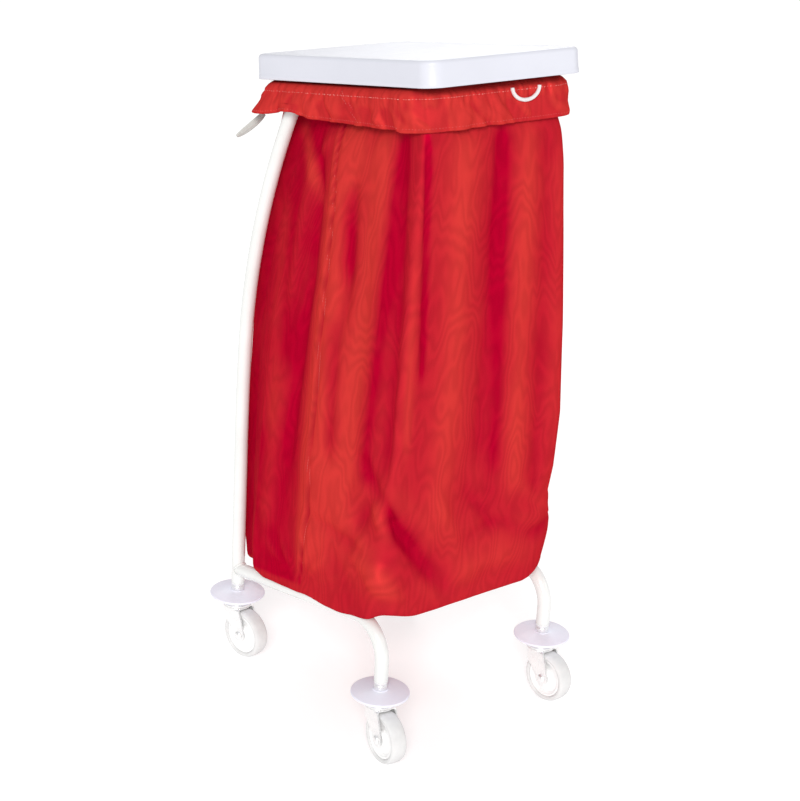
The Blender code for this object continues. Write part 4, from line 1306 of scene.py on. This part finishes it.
def make_bag():
    wall, out = bag_grid()
    wall, tone = crumple(wall, out)
    bottom = bag_bottom(wall[0].copy(), out[0])
    wall = wall_drop(wall)
    rows = in_row(np.concatenate([bottom, wall]))
    mesh = grid_mesh("bag", rows, caps=(True, False), uv=flat_places(rows))
    cleaned(mesh)
    mesh.shade_smooth()
    # Painted shade in the wall's hollows and painted highlight on its raised folds; the floor rows get one
    # even middle value.
    paint_fold_shading(mesh, np.concatenate([np.zeros((len(bottom), tone.shape[1])), tone]))
    bag = piece("bag_cloth", mesh, CLOTH, "frame", "bag_body")
    thicken(bag, BAG_CLOTH, -1.0)

    threads = []
    for side in (-1, 1):
        path = []
        columns = np.flatnonzero(out[40, :, 0] * side > 0.7)
        for r in range(6, len(wall) - 12):
            gaps = wall[r, columns, 1] - line(wall[r, columns, 2], *SEAM)
            for k in range(len(columns) - 1):
                if gaps[k] * gaps[k + 1] <= 0 and abs(gaps[k]) < 0.02:
                    t = gaps[k] / (gaps[k] - gaps[k + 1] + 1e-12)
                    a, b = wall[r, columns[k]], wall[r, columns[k + 1]]
                    path.append(a + (b - a) * t)
                    break
        ways = [(side, 0, 0)] * len(path)
        threads.append(stitches("seam", in_row(path), ways, (-0.0030, 0.0030), 0.0030, 0.0042))
    seam = piece("bag_seam_stitches", joined("seams", threads), THREAD, "frame")


make_bag()


# ---- Cuff ----

def cuff_rows(u, v, s):
    """(outward offset, height) down the cuff's section where the ring passes (u, v), at s round the hem."""
    at_upright = math.exp(-(((v - UPRIGHT_V) / 0.035) ** 2)) if abs(u) > RING_X * 0.9 else 0.0
    front = (RING_REAR - v) / (RING_REAR - RING_FRONT)
    wave = noise.noise(Vector((s * 9.0, 1.7, 0.3)))
    drop = 0.0425 + 0.0115 * front - 0.009 * at_upright + 0.0022 * wave
    at_corner = math.exp(-(((v - RING_REAR) / 0.045) ** 2)) * min(1.0, abs(u) / RING_X)
    bulge = 0.013 * max(at_upright, at_corner)
    face = RING_R + 0.0016
    swell = 0.0020 * noise.noise(Vector((s * 14.0, 4.4, 0.9)))
    rows = [(-face, RING_W - 0.021), (-face, RING_W - 0.004)]
    rows += [(-face * math.cos(a), RING_W + face * math.sin(a)) for a in np.radians(range(0, 181, 15))]
    for k in range(1, 15):
        t = k / 14
        w = RING_W + (-drop - RING_W) * t
        belly = math.sin(math.pi * min(t * 1.02, 1.0)) ** 1.3
        rows.append((face + 0.0008 + bulge * t**0.8 + (0.0022 + swell) * belly + 0.0010 * t, w))
    o, w = rows[-1]
    hem = ((0.0002, -0.0012), (0.0016, -0.0018), (0.0028, -0.0010), (0.0030, 0.003), (0.0026, 0.009))
    return rows + [(o - inward, w + rise) for inward, rise in hem]


def over_strap(at):
    """Whether a face of the cuff lies where a hinge strap comes out through it."""
    return (
        at.y > RING_REAR + 0.004 and at.z < STRAP_W[1] + 0.0030
        and abs(abs(at.x) - HINGE_U) < STRAP_HALF + 0.0025
    )


def make_cuff():
    outline = rounded_outline(rectangle(-RING_X, RING_X, RING_FRONT, RING_REAR), RING_CORNER, 18, 112)
    count = len(outline)
    ends = lengths(outline + outline[:1])
    columns, puckers = [], []
    for i, (u, v) in enumerate(outline):
        ahead, behind = Vector(outline[(i + 1) % count]), Vector(outline[i - 1])
        run = (ahead - behind).normalized()
        s = ends[i]
        turn = 2 * math.pi * s / ends[-1]
        ring_s = 2.2 * math.sin(turn), 2.2 * math.cos(turn)
        section = cuff_rows(u, v, s)
        column, moved = [], []
        for k, (offset, w) in enumerate(section):
            pucker = 0.0
            if k > 3:
                high = math.exp(-((w - (RING_W - 0.001)) / 0.011) ** 2)
                low = min(max((RING_W - w) / 0.028, 0.0), 1.0)
                fine = noise.noise(Vector((ring_s[0] * 9, ring_s[1] * 9, w * 30)))
                coarse = noise.noise(Vector((ring_s[0] * 3.2, ring_s[1] * 3.2, 3 + w * 14)))
                slant = noise.noise(Vector((ring_s[0] * 4.4 + w * 46, ring_s[1] * 4.4 - w * 38, 8.0)))
                pucker = 0.0078 * (0.55 - abs(fine)) * high + 0.0125 * coarse * low + 0.0080 * slant * low
                pucker += 0.0016 * math.exp(-((w - RING_W - 0.0015) / 0.0022) ** 2)
                if k < 10:
                    pucker = abs(pucker) * 0.5
                pucker = max(pucker, -0.0010)
            column.append((u + run.y * (offset + pucker), v - run.x * (offset + pucker), w))
            moved.append(pucker)
        columns.append(column)
        puckers.append(moved)
    rows = np.array(columns).transpose(1, 0, 2)
    mesh = grid_mesh("cuff", rows, uv=flat_places(rows))
    # Painted light and shade on the cuff: painted shade in the gathers' hollows and painted highlight on their
    # raised parts, on a lighter base.
    paint_fold_shading(mesh, np.array(puckers).T / 0.0030 + 0.80)
    cleaned(mesh, dropped=over_strap)
    mesh.shade_smooth()
    cuff = piece("cuff_cloth", mesh, CLOTH, "frame", "bag_cuff", MOUTH)
    thicken(cuff, CUFF_CLOTH, 0.0)
    seam_from, at_top, at_hem = 12, 14, 27
    hem = []
    for level in (at_top, at_hem):
        path = [Vector(p) for p in rows[level]] + [Vector(rows[level, 0])]
        ways = []
        for i in range(len(path)):
            a, b = path[i - 1 if i else -2], path[(i + 1) % len(path)]
            run = (b - a).normalized()
            ways.append(tuple((Vector((run.y, -run.x, 0.45 if level == at_top else 0.0))).normalized()))
        hem.append(stitches("hem", path, ways, (0.0,), 0.0030, 0.0046, 0.00042))
    thread = piece("cuff_top_stitches", hem[0], PALE_THREAD, "frame", None, MOUTH)
    low_thread = piece("cuff_hem_stitches", hem[1], THREAD, "frame", None, MOUTH)
    seam_parts = []
    for side in (-1, 1):
        pick = min(
            range(count), key=lambda i: abs(outline[i][0] - side * RING_X) * 9 + abs(outline[i][1] + 0.012),
        )
        path = [
            rows[level, (pick + round((level - seam_from) * -0.9 * side)) % count]
            for level in range(seam_from, at_hem + 1)
        ]
        ways = [(side, 0, 0)] * len(path)
        seam_parts.append(stitches("cuff_seam", path, ways, (-0.0026, 0.0026), 0.0028, 0.0040))
    made = joined("cuff_seam", seam_parts)
    seam = piece("cuff_seam_stitches", made, THREAD, "frame", None, MOUTH)


make_cuff()


# ---- Tie ----

def make_tie():
    """A folded strip of webbing, pinched at its root and turned a little along its length."""
    start, end = Vector((-0.1190, 0.1895, 0.8325)), Vector((-0.1515, 0.2085, 0.7995))
    run = (end - start).normalized()
    side = run.cross(Vector((0.35, 1.0, 0.2))).normalized()
    face = run.cross(side)
    rows = []
    for k in range(41):
        t = k / 40
        at = start.lerp(end, t) - Vector((0, 0, 0.0035)) * math.sin(math.pi * t) * 0.6
        wide = float(np.interp(
            t, [0, 0.12, 0.35, 0.7, 0.94, 1.0], [0.0028, 0.0044, 0.0050, 0.0044, 0.0030, 0.0016],
        ))
        turn = 0.35 * math.sin(t * 3.0)
        across = side * math.cos(turn) + face * math.sin(turn)
        lift = face * math.cos(turn) - side * math.sin(turn)
        row = []
        for j in range(13):
            s = j / 12 * 2 - 1
            row.append(at + across * (wide * s) + lift * (0.0009 * (1 - s * s) + 0.0002 * math.sin(s * 9)))
        rows.append([tuple(p) for p in row])
    rows = in_row(rows)
    mesh = grid_mesh("tie", rows, wrap=False)
    tidy(mesh)
    tie = piece("tie_strip", mesh, WEBBING, "frame", "bag_tie")
    thicken(tie, TIE_CLOTH, 0.0)
    edge = [
        stitches("tie_edge", rows[2:39, j], [tuple(face)] * 37, (0.0,), 0.0022, 0.0032, 0.00025)
        for j in (1, 11)
    ]
    thread = piece("tie_stitches", joined("tie_edge", edge), PALE_THREAD, "frame")


make_tie()


# ---- Floor, light and finish ----

def make_stage():
    made = bpy.data.meshes.new("floor")
    made.from_pydata([(x, y, 0) for x, y in rectangle(-14.0, 14.0, -14.0, 14.0)], [], [(0, 1, 2, 3)])
    floor = in_scene("floor", made)
    floor.location.z = -0.0004
    material = bpy.data.materials.new("floor_white")
    material.use_nodes = True
    preset(
        material.node_tree.nodes["Principled BSDF"], Base_Color=(0.60, 0.60, 0.60, 1.0), Roughness=0.8,
        Emission_Color=(1.0, 1.0, 1.0, 1.0), Emission_Strength=0.48,
    )
    made.materials.append(material)

    world = bpy.data.worlds.new("world")
    bpy.context.scene.world = world
    world.use_nodes = True
    preset(world.node_tree.nodes["Background"], Color=(1.0, 1.0, 1.0, 1.0), Strength=0.60)
    for name, kind, place, size, power, colour in (
        ("key", "SUN", (-1.72, -1.88, 1.95), math.radians(20), 2.3, (1.0, 0.985, 0.97)),
        ("fill", "AREA", (2.4, -1.8, 1.5), 1.4, 8.0, (1.0, 1.0, 1.0)),
        ("back", "AREA", (1.7, 2.0, 1.9), 1.4, 16.0, (1.0, 1.0, 1.0)),
    ):
        data = bpy.data.lights.new(name, kind)
        if kind == "SUN":
            data.angle = size
        else:
            data.shape = "DISK"
            data.size = size
        data.energy = power
        data.color = colour
        light = in_scene(name, data)
        light.location = place
        light.rotation_euler = (Vector((0, 0, 0.5)) - Vector(place)).to_track_quat("-Z", "Y").to_euler()
    view = bpy.context.scene.view_settings
    view.view_transform = "Standard"
    view.look = "None"
    view.exposure = 0.0


make_stage()
